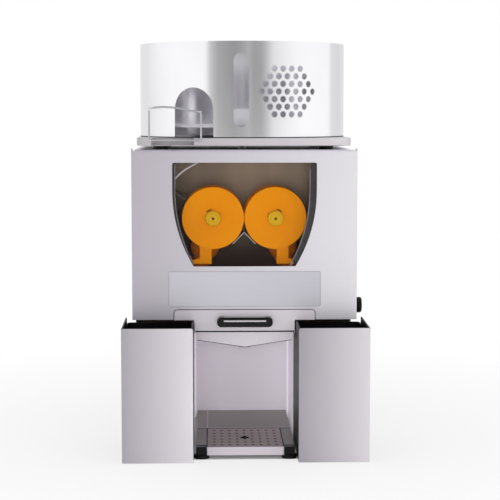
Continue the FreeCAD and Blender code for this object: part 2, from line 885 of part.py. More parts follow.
tray_low_z = s.foot_pad_tall
drip_top = s.base_top - s.grille_thick - s.fit_gap
drip_outer = block(
    "drip_outer", (-grille_half, base_front + s.grille_thick + s.fit_gap, tray_low_z),
    (grille_half, grille_back - tray_gap, drip_top),
)
drip_hollow = block(
    "drip_hollow",
    (-grille_half + s.sheet, base_front + s.grille_thick + s.fit_gap + s.sheet, tray_low_z + s.sheet),
    (grille_half - s.sheet, grille_back - tray_gap - s.sheet, drip_top + s.overrun),
)
keep(cut("drip_tray_cut", drip_outer, drip_hollow), "drip_tray")

front_feet = []
for side in (-1, 1):
    middle = side * (base_half - cap_deep / 2)
    cap = block(
        f"foot_cap_{side + 1}", (middle - cap_deep / 2, base_front, s.foot_pad_tall),
        (middle + cap_deep / 2, base_front + cap_deep, s.base_top),
    )
    pad_at = (middle, base_front + cap_deep / 2, 0)
    pad = rod(f"foot_pad_{side + 1}", "z", s.foot_pad_radius, pad_at, s.foot_pad_tall)
    front_feet.append(fuse(f"front_foot_{side + 1}", cap, pad))
keep(group("front_feet_pair", *front_feet), "front_feet")

housing_feet = []
for side in (-1, 1):
    for where, y in (("front", leg_front + s.foot_inset), ("back", back - s.foot_inset)):
        at = (side * (body_half - s.foot_inset), y, 0)
        name = f"housing_foot_{where}_{side + 1}"
        housing_feet.append(rod(name, "z", s.foot_pad_radius, at, s.housing_low))
keep(group("housing_feet_set", *housing_feet), "housing_feet")


# Gears: flanks through three points of the true involute, thinned by the backlash.
def gear_outline(teeth, first_angle):
    pitch_radius = float(s.gear_module) * teeth / 2
    base_radius = pitch_radius * math.cos(math.radians(PRESSURE_ANGLE))
    root_radius = pitch_radius - ROOT_DEPTH_MODULES * float(s.gear_module)
    tip_radius = pitch_radius + float(s.gear_module)

    def involute(radius):
        slope = math.sqrt(max((radius / base_radius) ** 2 - 1, 0))
        return slope - math.atan(slope)

    half_tooth = math.pi / teeth / 2 - float(s.gear_backlash) / pitch_radius / 2
    flank = []
    for radius in (root_radius, pitch_radius, tip_radius):
        flank.append((radius, half_tooth + involute(pitch_radius) - involute(radius)))
    points = []
    for tooth in range(teeth):
        middle = first_angle + 2 * math.pi * tooth / teeth
        for radius, half in flank:
            points.append((radius, middle - half))
        for radius, half in reversed(flank):
            points.append((radius, middle + half))
    return [Vector(radius * math.cos(angle), 0, radius * math.sin(angle)) for radius, angle in points]


def gear(name, place, teeth, first_angle, bore):
    x, z = [float(value) for value in place]
    y = float(gear_front)
    corners = [point + Vector(x, y, z) for point in gear_outline(teeth, first_angle)]
    disc = Part.Face(Part.makePolygon(corners + corners[:1])).extrude(Vector(0, float(s.gear_wide), 0))
    long = float(s.gear_wide + s.disc_thick)
    over = float(s.overrun)
    hub = Part.makeCylinder(float(s.gear_hub_radius), long, Vector(x, y, z), y_axis)
    hole = Part.makeCylinder(bore, long + 2 * over, Vector(x, y - over, z), y_axis)
    return formed(name, disc.fuse(hub).cut(hole))


def meshing_angle(direction, teeth, first_angle, other_teeth):
    """The first tooth angle of a gear that meshes with a gear along a direction."""
    offset = (first_angle - direction) * teeth / other_teeth
    return direction + math.pi - offset + math.pi / other_teeth


gear_front = plate_back + s.bearing_wide
left_turn = math.pi + lower_turn
right_turn = -lower_turn
first_angles = {"upper_left": 0.0}
first_angles["upper_right"] = meshing_angle(0.0, GEAR_TEETH, 0.0, GEAR_TEETH)
first_angles["lower_left"] = meshing_angle(left_turn, GEAR_TEETH, 0.0, GEAR_TEETH)
first_angles["lower_right"] = meshing_angle(right_turn, GEAR_TEETH, first_angles["upper_right"], GEAR_TEETH)
bore_radius = float(s.shaft_radius)
for place, at in SHAFT_PLACES.items():
    gear(f"gear_{place}", at, GEAR_TEETH, first_angles[place], bore_radius)
pinion_angle = meshing_angle(pinion_turn, GEAR_TEETH, first_angles["upper_right"], PINION_TEETH)
gear("motor_pinion", (pinion_x, pinion_z), PINION_TEETH, pinion_angle, float(s.feeder_shaft_radius))

# Shafts, with a flange that the drum seats on, and their bearings.
drum_front = cover_front + s.disc_setback
drum_back = drum_front + s.drum_long
shaft_front = drum_front - s.knob_long / 2
shaft_end = bearing_front + s.plate_thick + s.disc_thick
for place, (x, z) in SHAFT_PLACES.items():
    bar = rod(f"shaft_{place}_bar", "y", s.shaft_radius, (x, shaft_front, z), shaft_end - shaft_front)
    keep(bar, f"shaft_{place}")

bearings = []
for place, (x, z) in SHAFT_PLACES.items():
    for row, y in (("front", plate_front), ("rear", bearing_front)):
        radius = s.bearing_radius - play
        ring = rod(f"bearing_{row}_{place}", "y", radius, (x, y, z), s.bearing_wide - s.fit_gap)
        bore = rod(
            f"bearing_bore_{row}_{place}", "y", s.shaft_radius + play,
            (x, y - s.overrun, z), s.bearing_wide + 2 * s.overrun,
        )
        bearings.append(cut(f"bearing_ring_{row}_{place}", ring, bore))
keep(group("bearing_set", *bearings), "shaft_bearings")

# Cup drums: spherical cups round the rim, and two grooves for the ejector fingers.
disc_radius = float(spacing) / 2 - float(s.disc_gap) / 2
drum_middle = float(drum_front + drum_back) / 2


def ring_places(at, circle, first_angle):
    x, z = [float(value) for value in at]
    for index in range(CUPS):
        angle = first_angle + 2 * math.pi * index / CUPS
        yield angle, Vector(x + circle * math.cos(angle), drum_middle, z + circle * math.sin(angle))


def bored(shape, at, start, end, radius):
    x, z = [float(value) for value in at]
    over = float(s.overrun)
    return shape.cut(Part.makeCylinder(radius, end - start + 2 * over, Vector(x, start - over, z), y_axis))


def cup_drum(name, at, first_angle):
    x, z = [float(value) for value in at]
    start = float(drum_front)
    long = float(s.drum_long)
    shape = Part.makeCylinder(disc_radius, long, Vector(x, start, z), y_axis)
    for angle, centre in ring_places(at, float(spacing) / 2, first_angle):
        shape = shape.cut(Part.makeSphere(float(s.cup_radius), centre))
    wide = float(s.groove_wide)
    for edge in (start + float(s.disc_thick), start + long - float(s.disc_thick) - wide):
        outer = Part.makeCylinder(disc_radius + float(s.overrun), wide, Vector(x, edge, z), y_axis)
        core = Part.makeCylinder(float(s.drum_core_radius), wide, Vector(x, edge, z), y_axis)
        shape = shape.cut(outer.cut(core))
    formed(name, bored(shape, at, start, start + long, float(s.shaft_radius)))


def ball_drum(name, at, first_angle):
    x, z = [float(value) for value in at]
    start = float(drum_front)
    long = float(s.drum_long)
    shape = Part.makeCylinder(float(s.gear_hub_radius), long, Vector(x, start, z), y_axis)
    half = float(s.ball_radius)
    hub = Part.makeCylinder(float(s.ball_hub_radius), 2 * half, Vector(x, drum_middle - half, z), y_axis)
    joined = [hub]
    for angle, centre in ring_places(at, float(spacing) / 2, first_angle):
        outward = Vector(math.cos(angle), 0, math.sin(angle))
        joined.append(Part.makeCone(
            float(s.ball_post_radius), float(s.ball_post_radius + s.ball_post_flare), float(spacing) / 2,
            Vector(x, drum_middle, z), outward))
        joined.append(Part.makeSphere(half, centre, y_axis))
    shape = shape.fuse(joined).removeSplitter()
    formed(name, bored(shape, at, start, start + long, float(s.shaft_radius)))


cup_drum("cup_drum_left", SHAFT_PLACES["upper_left"], left_turn)
cup_drum("cup_drum_right", SHAFT_PLACES["upper_right"], right_turn)
ball_drum("ball_drum_left", SHAFT_PLACES["lower_left"], left_turn - math.pi)
ball_drum("ball_drum_right", SHAFT_PLACES["lower_right"], right_turn + math.pi)

# Knobs that lock the drums on their shafts.
for place, (x, z) in SHAFT_PLACES.items():
    knob_at = (x, drum_front - s.knob_long, z)
    body = rod(f"knob_body_{place}", "y", s.knob_radius, knob_at, s.knob_long - s.fit_gap / 3)
    socket_at = (x, shaft_front - s.fit_gap / 3, z)
    socket = rod(f"knob_socket_{place}", "y", s.shaft_radius + play, socket_at, s.knob_long)
    doc.recompute()
    shape = body.Shape
    rim_level = float(drum_front - s.knob_long + play)
    rim = [edge for edge in shape.Edges if edge.BoundBox.YMax < rim_level]
    formed(f"drum_knob_{place}", shape.makeFillet(float(s.knob_neck), rim).cut(socket.Shape))

# Knife over its roof-shaped holder, and the peel ejectors.
blade_front = drum_front + s.disc_thick
blade_half = s.blade_thick / 2
blade_corners = [
    (-blade_half, blade_apex), (blade_half, blade_apex),
    (blade_half, blade_top - s.blade_edge), (0, blade_top),
    (-blade_half, blade_top - s.blade_edge),
]
keep(profile("knife_blade", "XZ", blade_corners, blade_front, plate_front), "knife")
roof_low = blade_apex - s.blade_arm
roof_corners = [
    (0, blade_apex), (s.blade_arm, roof_low),
    (s.blade_arm - s.roof_thick, roof_low - s.roof_thick / 2),
    (0, blade_apex - s.roof_thick * 3 / 2),
    (-s.blade_arm + s.roof_thick, roof_low - s.roof_thick / 2),
    (-s.blade_arm, roof_low),
]
keep(profile("knife_roof", "XZ", roof_corners, blade_front, plate_front), "knife_holder")

finger_x = spacing / 2 + s.finger_wide / 3
finger_top = drum_height - s.cup_radius - s.finger_wide
finger_low = lower_z + s.ball_hub_radius
finger_out = lower_x + s.finger_reach
finger_level = drum_height - s.finger_wide * 4
ejectors = []
for side_name, side in (("left", -1), ("right", 1)):
    corners = [
        (finger_x, finger_low),
        (finger_out + s.finger_wide, finger_low),
        (finger_out + s.finger_wide, finger_level),
        (finger_out, finger_level),
        (finger_out - s.finger_wide, finger_low + s.finger_wide * 2),
        (lower_x + s.finger_wide, finger_low + s.finger_wide),
        (finger_x + s.finger_wide * 3, finger_low + s.finger_wide * 3 / 2),
        (finger_x + s.finger_wide * 3, finger_top - s.finger_wide),
        (finger_x + s.finger_wide * 3 / 2, finger_top),
        (finger_x, finger_top - s.finger_wide),
    ]
    if side < 0:
        corners = mirrored(corners)
    gap = s.groove_wide / 2 - s.finger_wide / 2
    fingers = []
    for row, groove in (
        ("front", drum_front + s.disc_thick),
        ("back", drum_back - s.disc_thick - s.groove_wide),
    ):
        start = groove + gap
        name = f"ejector_finger_{row}_{side_name}"
        fingers.append(profile(name, "XZ", corners, start, start + s.finger_wide))
    ends = sorted((side * finger_out, side * (finger_out + s.finger_wide)), key=float)
    bar = block(
        f"ejector_bar_{side_name}",
        (ends[0], drum_front + s.disc_thick + gap, finger_level - 2 * s.finger_wide),
        (ends[1], plate_front, finger_level),
    )
    ejectors.append(fuse(f"ejector_{side_name}", bar, *fingers))
keep(group("ejector_pair", *ejectors), "peel_ejectors")

# Drive motor: a gearbox on the bearing plate and the motor behind it.
gearbox_front = bearing_front + s.plate_thick
motor_shaft_start = gear_front
gearbox = rod("gearbox_case", "y", s.motor_radius, (pinion_x, gearbox_front, pinion_z), s.gearbox_long)
motor_at = (pinion_x, gearbox_front + s.gearbox_long, pinion_z)
motor_case = rod("motor_case", "y", s.motor_radius - s.sheet * 2, motor_at, s.motor_long)
keep(fuse("gearmotor_case", gearbox, motor_case), "drive_gearmotor")
motor_shaft = rod(
    "motor_shaft_bar", "y", s.feeder_shaft_radius, (pinion_x, motor_shaft_start, pinion_z),
    gearbox_front - motor_shaft_start - s.fit_gap,
)
doc.recompute()
pinion = nodes.pop("motor_pinion")
pinion.Label = "pinion_teeth"
keep(fuse("pinion_on_shaft", pinion, motor_shaft), "motor_pinion")

# Fruit chute under the drop hole: it turns the fruit towards the drums.
chute_out = drop_x - s.drop_hole_radius - s.sheet
chute_in = -spacing / 2 - s.cup_radius - s.finger_wide * 2
chute_knee = window_top - s.cup_radius
chute_end = drum_height + s.cup_radius
chute_corners = [
    (chute_out, panel_low), (chute_out - s.sheet, panel_low),
    (chute_out - s.sheet, chute_knee), (chute_in, chute_end),
    (chute_in, chute_end + s.chute_rise), (chute_out, chute_knee + s.sheet),
]
chute_start = cover_back + s.chute_setback
keep(profile("chute_sheet", "XZ", chute_corners, chute_start, plate_front), "fruit_chute")


# Feeder base: a thick tray with round corners and the notch that lets fruit drop.
slab_front = front + s.slab_setback
slab_half = s.slab_wide / 2
slab_back = feeder_y + s.basket_radius + s.sheet
slab_block = block("slab_block", (-slab_half, slab_front, slab_low), (slab_half, slab_back, slab_top))
notch_edge = block(
    "notch_edge", (drop_x - s.drop_hole_radius, slab_front - s.overrun, slab_low - s.overrun),
    (drop_x + s.drop_hole_radius, drop_y, slab_top + s.overrun),
)
notch_round = rod(
    "notch_round", "z", s.drop_hole_radius, (drop_x, drop_y, slab_low - s.overrun),
    s.slab_thick + 2 * s.overrun,
)
slab_bore = rod(
    "slab_bore", "z", s.feeder_shaft_radius + s.run_gap, (0, feeder_y, slab_low - s.overrun),
    s.slab_thick + 2 * s.overrun,
)
doc.recompute()
slab_edges = [edge for edge in slab_block.Shape.Edges if edge.Length < float(s.slab_thick + s.fit_gap)]
slab_shape = slab_block.Shape.makeFillet(float(s.slab_corner), slab_edges)
for tool in (notch_edge, notch_round, slab_bore):
    slab_shape = slab_shape.cut(tool.Shape)
formed("feeder_base", slab_shape)

spacers = []
for side in (-1, 1):
    for where, y in (("front", slab_front + s.spacer_setback), ("back", slab_back - s.slab_corner)):
        at = (side * (slab_half - s.slab_corner), y, panel_top)
        spacers.append(rod(f"spacer_{where}_{side + 1}", "z", s.knob_radius, at, slab_low - panel_top))
keep(group("spacer_set", *spacers), "feeder_spacers")

# Basket: a sheet ring with the fruit outlet, a sight slot and a field of holes.
def through_wall(shape, x):
    """A cutter along the wall's own normal: it stands at a place on the front."""
    angle = math.degrees(math.asin(x / float(s.basket_radius)))
    shape.rotate(Vector(0, float(feeder_y), 0), Vector(0, 0, 1), angle)
    return shape


def slot_cutter(wide, low, tall):
    radius = float(s.basket_radius)
    start = float(feeder_y) - radius - float(s.overrun)
    deep = float(s.overrun) * 3
    half = wide / 2
    box = Part.makeBox(wide, deep, tall - wide, Vector(-half, start, low + half))
    ends = []
    for z in (low + half, low + tall - half):
        ends.append(Part.makeCylinder(half, deep, Vector(0, start, z), y_axis))
    return box.fuse(ends)


arch_wide = float(s.arch_wide)
arch_below = float(s.overrun) + arch_wide / 2
arch_tool = slot_cutter(arch_wide, float(slab_top) - arch_below, float(s.arch_tall) + arch_below)
basket_outer = rod("basket_outer", "z", s.basket_radius, (0, feeder_y, slab_top), s.basket_tall)
basket_inner = rod(
    "basket_inner", "z", s.basket_radius - s.basket_sheet, (0, feeder_y, slab_top - s.overrun),
    s.basket_tall + 2 * s.overrun,
)
basket_ring = cut("basket_ring", basket_outer, basket_inner)
doc.recompute()
sight_tool = slot_cutter(float(s.sight_wide), float(sight_low), float(s.sight_tall))
basket_tools = [through_wall(arch_tool, -float(s.arch_side))]
basket_tools.append(through_wall(sight_tool, float(s.sight_offset)))
field_pitch = float(s.field_pitch)
field_reach = float(s.field_radius) - float(s.field_hole_radius)
steps = int(float(s.field_radius) // field_pitch) + 1
for row in range(-steps, steps + 1):
    for column in range(-steps, steps + 1):
        across = (column + row % 2 / 2) * field_pitch
        up = row * field_pitch * math.sin(math.pi / 3)
        if math.hypot(across, up) <= field_reach:
            start = Vector(0, float(feeder_y - s.basket_radius - s.overrun), float(field_height) + up)
            hole = Part.makeCylinder(float(s.field_hole_radius), float(s.overrun) * 3, start, y_axis)
            basket_tools.append(through_wall(hole, float(s.field_offset) + across))
formed("basket", basket_ring.Shape.cut(basket_tools))

# Rotor: a disc with open pockets round the rim, a dome on top and its hub.
rotor_low = slab_top + s.rotor_lift
rotor_disc = rod("rotor_disc", "z", s.rotor_radius, (0, feeder_y, rotor_low), s.rotor_thick)
pockets = []
for index in range(ROTOR_POCKETS):
    angle = 2 * math.pi * (index + 1 / 2) / ROTOR_POCKETS
    across = s.pocket_circle * math.cos(angle)
    at = (across, feeder_y + s.pocket_circle * math.sin(angle), rotor_low - s.overrun)
    pockets.append(rod(f"rotor_pocket_{index}", "z", s.pocket_radius, at, s.rotor_thick + 2 * s.overrun))
rotor_hub = rod("rotor_hub", "z", s.gear_hub_radius, (0, feeder_y, slab_top + s.run_gap), s.rotor_lift)
rotor_bore = rod(
    "rotor_bore", "z", s.feeder_shaft_radius, (0, feeder_y, slab_top - s.overrun),
    s.rotor_lift + s.rotor_thick + s.overrun,
)
rotor_star = cut("rotor_star", rotor_disc, *pockets)
rotor_plate = cut("rotor_cut", fuse("rotor_with_hub", rotor_star, rotor_hub), rotor_bore)
dome_centre = float(s.dome_radius) ** 2 / (2 * float(s.dome_tall)) - float(s.dome_tall) / 2
dome_sphere = math.hypot(float(s.dome_radius), dome_centre)
rotor_top = float(rotor_low + s.rotor_thick)
dome = Part.makeSphere(dome_sphere, Vector(0, float(feeder_y), rotor_top - dome_centre))
dome_room = Part.makeBox(
    2 * float(s.dome_radius), 2 * float(s.dome_radius), float(s.dome_tall),
    Vector(-float(s.dome_radius), float(feeder_y - s.dome_radius), rotor_top))
doc.recompute()
formed("feeder_rotor", rotor_plate.Shape.fuse(dome.common(dome_room)))

motor_half = s.feeder_motor_wide / 2
motor_top = panel_low - s.fit_gap
feeder_motor = block(
    "feeder_motor_case", (-motor_half, feeder_y - motor_half / 2, motor_top - s.feeder_motor_tall),
    (motor_half, feeder_y + motor_half, motor_top),
)
keep(feeder_motor, "feeder_motor")
feeder_shaft = rod(
    "feeder_shaft_bar", "z", s.feeder_shaft_radius, (0, feeder_y, motor_top + s.fit_gap),
    rotor_low + s.rotor_thick - motor_top - s.fit_gap * 2,
)
keep(feeder_shaft, "feeder_shaft")

# Wire guard round the drop hole: an upper and a lower loop on two posts.
guard_y = float(slab_front - s.guard_reach)
guard_right = float(drop_x + s.drop_hole_radius + s.guard_margin)
guard_left = guard_right - float(s.guard_wide)
guard_bend = float(s.guard_bend)
wire = float(s.wire_radius)
guard_low = float(slab_top) - wire * 2
slab_face = float(slab_front)
corner_centre = float(slab_half - s.slab_corner)
corner_over = -guard_left - corner_centre - wire
corner_radius = float(s.slab_corner)
left_face = slab_face + corner_radius - math.sqrt(corner_radius ** 2 - corner_over ** 2)
loop_top = float(guard_top)
guard_margin = float(s.guard_margin)
back_left = slab_face + guard_margin * 2
top_loop = bent_wire([
    Vector(guard_right, slab_face + guard_margin, loop_top), Vector(guard_right, guard_y, loop_top),
    Vector(guard_left, guard_y, loop_top), Vector(guard_left, back_left, loop_top),
], guard_bend, wire)
low_loop = bent_wire([
    Vector(guard_right, slab_face, guard_low), Vector(guard_right, guard_y, guard_low),
    Vector(guard_left, guard_y, guard_low), Vector(guard_left, left_face, guard_low),
], guard_bend, wire)
posts = []
post_right = Vector(guard_right, slab_face - wire * 2, guard_low)
posts.append(Part.makeCylinder(wire, loop_top - guard_low, post_right))
post_left = Vector(guard_left, slab_face - wire * 2, guard_low)
posts.append(Part.makeCylinder(wire, loop_top - guard_low, post_left))
formed("wire_guard", top_loop.fuse([low_loop] + posts))

# Switch on the right side, its control box inside, and the mains inlet behind.
switch_y = front + s.switch_setback
switch_x = body_half + s.fit_gap
switch_at = (switch_x, switch_y, switch_height)
knob = rod("switch_body", "x", s.switch_radius, switch_at, s.switch_reach - s.fit_gap)
doc.recompute()
knob_face = float(body_half + s.switch_reach - play)
knob_edges = [edge for edge in knob.Shape.Edges if edge.BoundBox.XMin > knob_face]
formed("switch_knob", knob.Shape.makeFillet(float(s.switch_round), knob_edges))

box_half = s.box_wide / 2
box_base = deck_top + s.fit_gap
box_low = (-box_half, rear_front - s.fit_gap - s.box_deep, box_base)
box_high = (box_half, rear_front - s.fit_gap, box_base + s.box_tall)
keep(block("control_box_case", box_low, box_high), "control_box")
inlet_body = block(
    "inlet_body", (inlet_x - s.inlet_wide / 2 + s.fit_gap, back - s.inlet_deep, inlet_z + s.fit_gap),
    (inlet_x + s.inlet_wide / 2 - s.fit_gap, back, inlet_z + s.inlet_tall - s.fit_gap),
)
inlet_room = block(
    "inlet_room", (inlet_x - s.inlet_wide / 3, back - s.inlet_deep / 2, inlet_z + s.inlet_tall / 5),
    (inlet_x + s.inlet_wide / 3, back + s.overrun, inlet_z + s.inlet_tall * 4 / 5),
)
keep(cut("inlet_cut", inlet_body, inlet_room), "mains_inlet")


# Nothing is written unless every object is sound.
doc.recompute()
for piece in doc.Objects:
    if {"Invalid", "Error"} & set(piece.State):
        raise SystemExit(f"{piece.Name} did not recompute: {piece.State}")
os.makedirs("parts", exist_ok=True)
for name, piece in nodes.items():
    if piece.Shape.isNull() or not piece.Shape.isValid():
        raise SystemExit(f"{name} has no sound shape")
    piece.Shape.exportStep(f"parts/{name}.step")
    print(f"{name}: {len(piece.Shape.Solids)} solid(s), {piece.Shape.Volume:.0f} mm3")
print(len(nodes), "nodes")
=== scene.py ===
import json
import math

import bmesh
import bpy
from mathutils import Matrix, Vector


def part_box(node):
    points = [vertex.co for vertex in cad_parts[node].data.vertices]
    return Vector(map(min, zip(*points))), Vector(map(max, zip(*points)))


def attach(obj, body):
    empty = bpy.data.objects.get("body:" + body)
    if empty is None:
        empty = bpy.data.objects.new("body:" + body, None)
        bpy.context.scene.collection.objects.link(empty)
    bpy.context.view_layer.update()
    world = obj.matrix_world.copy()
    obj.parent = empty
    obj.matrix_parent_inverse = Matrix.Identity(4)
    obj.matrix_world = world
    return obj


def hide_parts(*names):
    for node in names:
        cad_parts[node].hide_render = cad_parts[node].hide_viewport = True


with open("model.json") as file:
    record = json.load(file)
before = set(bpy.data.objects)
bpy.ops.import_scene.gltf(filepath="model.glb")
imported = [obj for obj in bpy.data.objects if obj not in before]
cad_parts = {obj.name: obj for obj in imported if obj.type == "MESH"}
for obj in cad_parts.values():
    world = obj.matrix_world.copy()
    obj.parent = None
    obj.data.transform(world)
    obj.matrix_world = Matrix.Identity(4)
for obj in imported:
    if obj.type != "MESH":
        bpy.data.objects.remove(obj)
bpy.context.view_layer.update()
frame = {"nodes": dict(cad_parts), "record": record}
scene = bpy.context.scene
nodes = frame["nodes"]
record = frame["record"]
slot_of = {entry["node"]: entry["material_slot"] for entry in record["subparts"]}
body_of = {node: body for body, members in record["behaviour"]["bodies"].items() for node in members}
MM = 0.001
OBJECT_PLACE = 3
LINE_STRETCH = 2
HAIR_STRETCH = 260
WELD = 0.002 * MM
SPLIT = 0.001 * MM
FLAT = math.radians(0.5)
QUARTER = math.radians(90)
ROWS_OF_LOUVRES = 6
SIDE_FACE = 217.0
COVER_FACE = -205.55


# Shader maths: an expression on values adds its Math nodes.
class Value:
    def __init__(self, finish, socket):
        self.finish = finish
        self.socket = socket

    def math(self, operation, first, second=0.0):
        return self.finish.math(operation, first, second)

    def __add__(self, other):
        return self.math("ADD", self, other)

    def __sub__(self, other):
        return self.math("SUBTRACT", self, other)

    def __rsub__(self, other):
        return self.math("SUBTRACT", other, self)

    def __mul__(self, other):
        return self.math("MULTIPLY", self, other)

    def __truediv__(self, other):
        return self.math("DIVIDE", self, other)

    def __lt__(self, other):
        return self.math("LESS_THAN", self, other)

    def __gt__(self, other):
        return self.math("GREATER_THAN", self, other)

    def away_from(self, other):
        return self.math("ABSOLUTE", self - other)


def shade(red, green, blue):
    """A screen colour, 0 to 255, as the linear colour that a shader takes."""
    linear = []
    for part in (red, green, blue):
        part = part / 255
        linear.append(part / 12.92 if part <= 0.04045 else ((part + 0.055) / 1.055) ** 2.4)
    return (*linear, 1.0)


class Finish:
    """One procedural material, made node by node."""

    def __init__(self, name, tree=None):
        if tree is None:
            self.material = bpy.data.materials.new(name)
            self.material.use_nodes = True
            tree = self.material.node_tree
        self.tree = tree
        self.shader = tree.nodes.get("Principled BSDF")

    def add(self, kind, settings=None, sockets=None, output=0):
        node = self.tree.nodes.new(kind)
        for name, setting in (settings or {}).items():
            if name == "stops":
                ramp = node.color_ramp
                ramp.elements[0].position, ramp.elements[0].color = setting[0]
                ramp.elements[1].position, ramp.elements[1].color = setting[-1]
                for place, colour in setting[1:-1]:
                    ramp.elements.new(place).color = colour
            else:
                setattr(node, name, setting)
        for name, value in (sockets or {}).items():
            self.join(node.inputs[name], value)
        return Value(self, node.outputs[output])

    def math(self, operation, first, second=0.0):
        return self.add("ShaderNodeMath", {"operation": operation}, {0: first, 1: second})

    def join(self, socket, value):
        if isinstance(value, Value):
            self.tree.links.new(value.socket, socket)
        else:
            socket.default_value = value

    def set(self, **sockets):
        for name, value in sockets.items():
            self.join(self.shader.inputs[name.replace("_", " ")], value)

    def place(self, scale=(1, 1, 1)):
        here = self.add("ShaderNodeTexCoord", output=OBJECT_PLACE)
        return self.add("ShaderNodeMapping", {"vector_type": "POINT"}, {"Vector": here, "Scale": scale})

    def along(self, axis):
        """The place along one axis, in metres."""
        split = self.tree.nodes.new("ShaderNodeSeparateXYZ")
        self.join(split.inputs[0], self.place())
        return Value(self, split.outputs[axis])

    def noise(self, scale, detail=3.0, stretch=(1, 1, 1), rough=0.55):
        return self.add(
            "ShaderNodeTexNoise", {},
            {"Vector": self.place(stretch), "Scale": scale, "Detail": detail, "Roughness": rough},
        )

    def brushing(self, axis):
        """Hair lines along an axis, and broad clouds."""
        stretch = tuple(LINE_STRETCH if letter == axis else HAIR_STRETCH for letter in "xyz")
        lines = self.noise(9.0, 4.0, stretch, 0.7)
        fine = self.noise(26.0, 3.0, stretch, 0.7)
        return lines * 0.6 + fine * 0.4, self.noise(5.0, 2.0)

    def between(self, mask, first, second):
        """One colour passing into another where the mask rises."""
        node = self.tree.nodes.new("ShaderNodeMix")
        node.data_type = "RGBA"
        self.join(node.inputs[0], mask)
        self.join(node.inputs[6], first)
        self.join(node.inputs[7], second)
        return Value(self, node.outputs[2])

    def bump(self, height, distance, strength=1.0):
        return self.add("ShaderNodeBump", {}, {"Height": height, "Distance": distance, "Strength": strength})

    def clipped(self, value, low, high):
        return self.add(
            "ShaderNodeMapRange", {"clamp": True},
            {"Value": value, "From Min": low, "From Max": high, "To Min": 0.0, "To Max": 1.0},
        )


# Brushed sheet: long hair lines along one axis, with faint cloudy handling marks.
def brushed_sheet(name, light, dark, along, rough=0.34, metal=0.9, hair=0.000012):
    finish = Finish(name)
    grain, clouds = finish.brushing(along)
    tone = finish.clipped(grain * 0.75 + clouds * 0.25, 0.3, 0.7)
    finish.set(
        Base_Color=finish.between(tone, dark, light),
        Metallic=metal,
        Roughness=clouds * 0.1 + grain * 0.12 + (rough - 0.11),
        Normal=finish.bump(grain, hair),
    )
    return finish.material


# Brushed sheet with painted light and shade: its tone runs evenly from one edge to the other, as light
# falling more on one side would make it.
def sheet_in_painted_light(name, start, end, low, high, axis="X", along="z", rough=0.42, metal=0.4):
    finish = Finish(name)
    grain, clouds = finish.brushing(along)
    across = finish.clipped(finish.along(axis), low * MM, high * MM)
    tone = across * 0.9 + clouds * 0.08 + grain * 0.08 - 0.03
    finish.set(
        Base_Color=finish.between(finish.clipped(tone, 0.0, 1.0), start, end),
        Metallic=metal,
        Roughness=clouds * 0.08 + grain * 0.1 + (rough - 0.09),
        Normal=finish.bump(grain, 0.000008),
    )
    return finish.material


# Wall of the press room: lighter above, darker below, in broad soft upright bands, with painted shade
# towards its sides and random stains.
def stained_and_shaded_wall(name):
    finish = Finish(name)
    bands = finish.noise(14.0, 2.0, (1, 0.02, 0.05), 0.5)
    grain = finish.noise(9.0, 4.0, (HAIR_STRETCH, HAIR_STRETCH, LINE_STRETCH), 0.7)
    stains = finish.noise(18.0, 4.0)
    height = finish.clipped(finish.along("Z"), 0.385, 0.54)
    # Painted shade: the wall darkens towards its sides, away from its lit middle.
    beside = finish.clipped(finish.along("X").away_from(0.02), 0.04, 0.15)
    tone = height * (finish.clipped(bands, 0.25, 0.75) * 0.45 + 0.65) - beside * 0.3 - stains * 0.12 + 0.06
    finish.set(
        Base_Color=finish.between(finish.clipped(tone, 0.0, 1.0), shade(66, 50, 42), shade(182, 164, 142)),
        Metallic=0.3,
        Roughness=stains * 0.15 + 0.34,
        Normal=finish.bump(grain, 0.00001),
    )
    return finish.material


# Polished sheet: nearly a mirror, with wiping haze and hairline scratches.
def polished_sheet(name, light, dark):
    finish = Finish(name)
    haze = finish.noise(7.0, 3.0, (1, 1, 0.5))
    scratch = finish.noise(30.0, 2.0, (40, 40, 1), 0.6)
    tone = finish.clipped(haze, 0.35, 0.65)
    finish.set(
        Base_Color=finish.between(tone, dark, light),
        Metallic=1.0,
        Roughness=haze * 0.12 + scratch * 0.08 + 0.03,
        Normal=finish.bump(haze, 0.0004, 0.25),
    )
    return finish.material


# Moulded plastic: a fine spark-eroded grain, slight colour drift and rubbed patches.
def moulded(name, light, dark, rough, coat=0.0, grain=0.00004, spark=0.3):
    finish = Finish(name)
    drift = finish.noise(14.0, 3.0)
    pits = finish.noise(900.0, 2.0)
    rubbed = finish.clipped(finish.noise(45.0, 4.0), 0.55, 0.75)
    finish.set(
        Base_Color=finish.between(finish.clipped(drift, 0.3, 0.7), dark, light),
        Roughness=drift * 0.08 + rubbed * 0.05 + (rough - 0.05),
        Coat_Weight=coat,
        Normal=finish.bump(pits, grain),
    )
    finish.set(Coat_Roughness=0.08, Specular_IOR_Level=spark)
    return finish.material


# Paint: a finely rippled surface with a little dust.
def painted(name, colour, dark, rough):
    finish = Finish(name)
    peel = finish.noise(260.0, 2.0)
    dust = finish.clipped(finish.noise(9.0, 4.0), 0.4, 0.7)
    finish.set(
        Base_Color=finish.between(dust, dark, colour),
        Roughness=dust * 0.12 + (rough - 0.06),
        Normal=finish.bump(peel, 0.00006),
    )
    return finish.material


# Clear pane: almost invisible, with wiping marks.
def clear_pane(name):
    finish = Finish(name)
    wiped = finish.noise(6.0, 3.0, (1, 1, 3))
    finish.set(
        Base_Color=shade(70, 66, 64),
        Roughness=wiped * 0.05 + 0.02,
        Alpha=finish.clipped(wiped, 0.2, 0.9) * 0.03 + 0.03,
        Normal=finish.bump(wiped, 0.0002, 0.1),
    )
    return finish.material


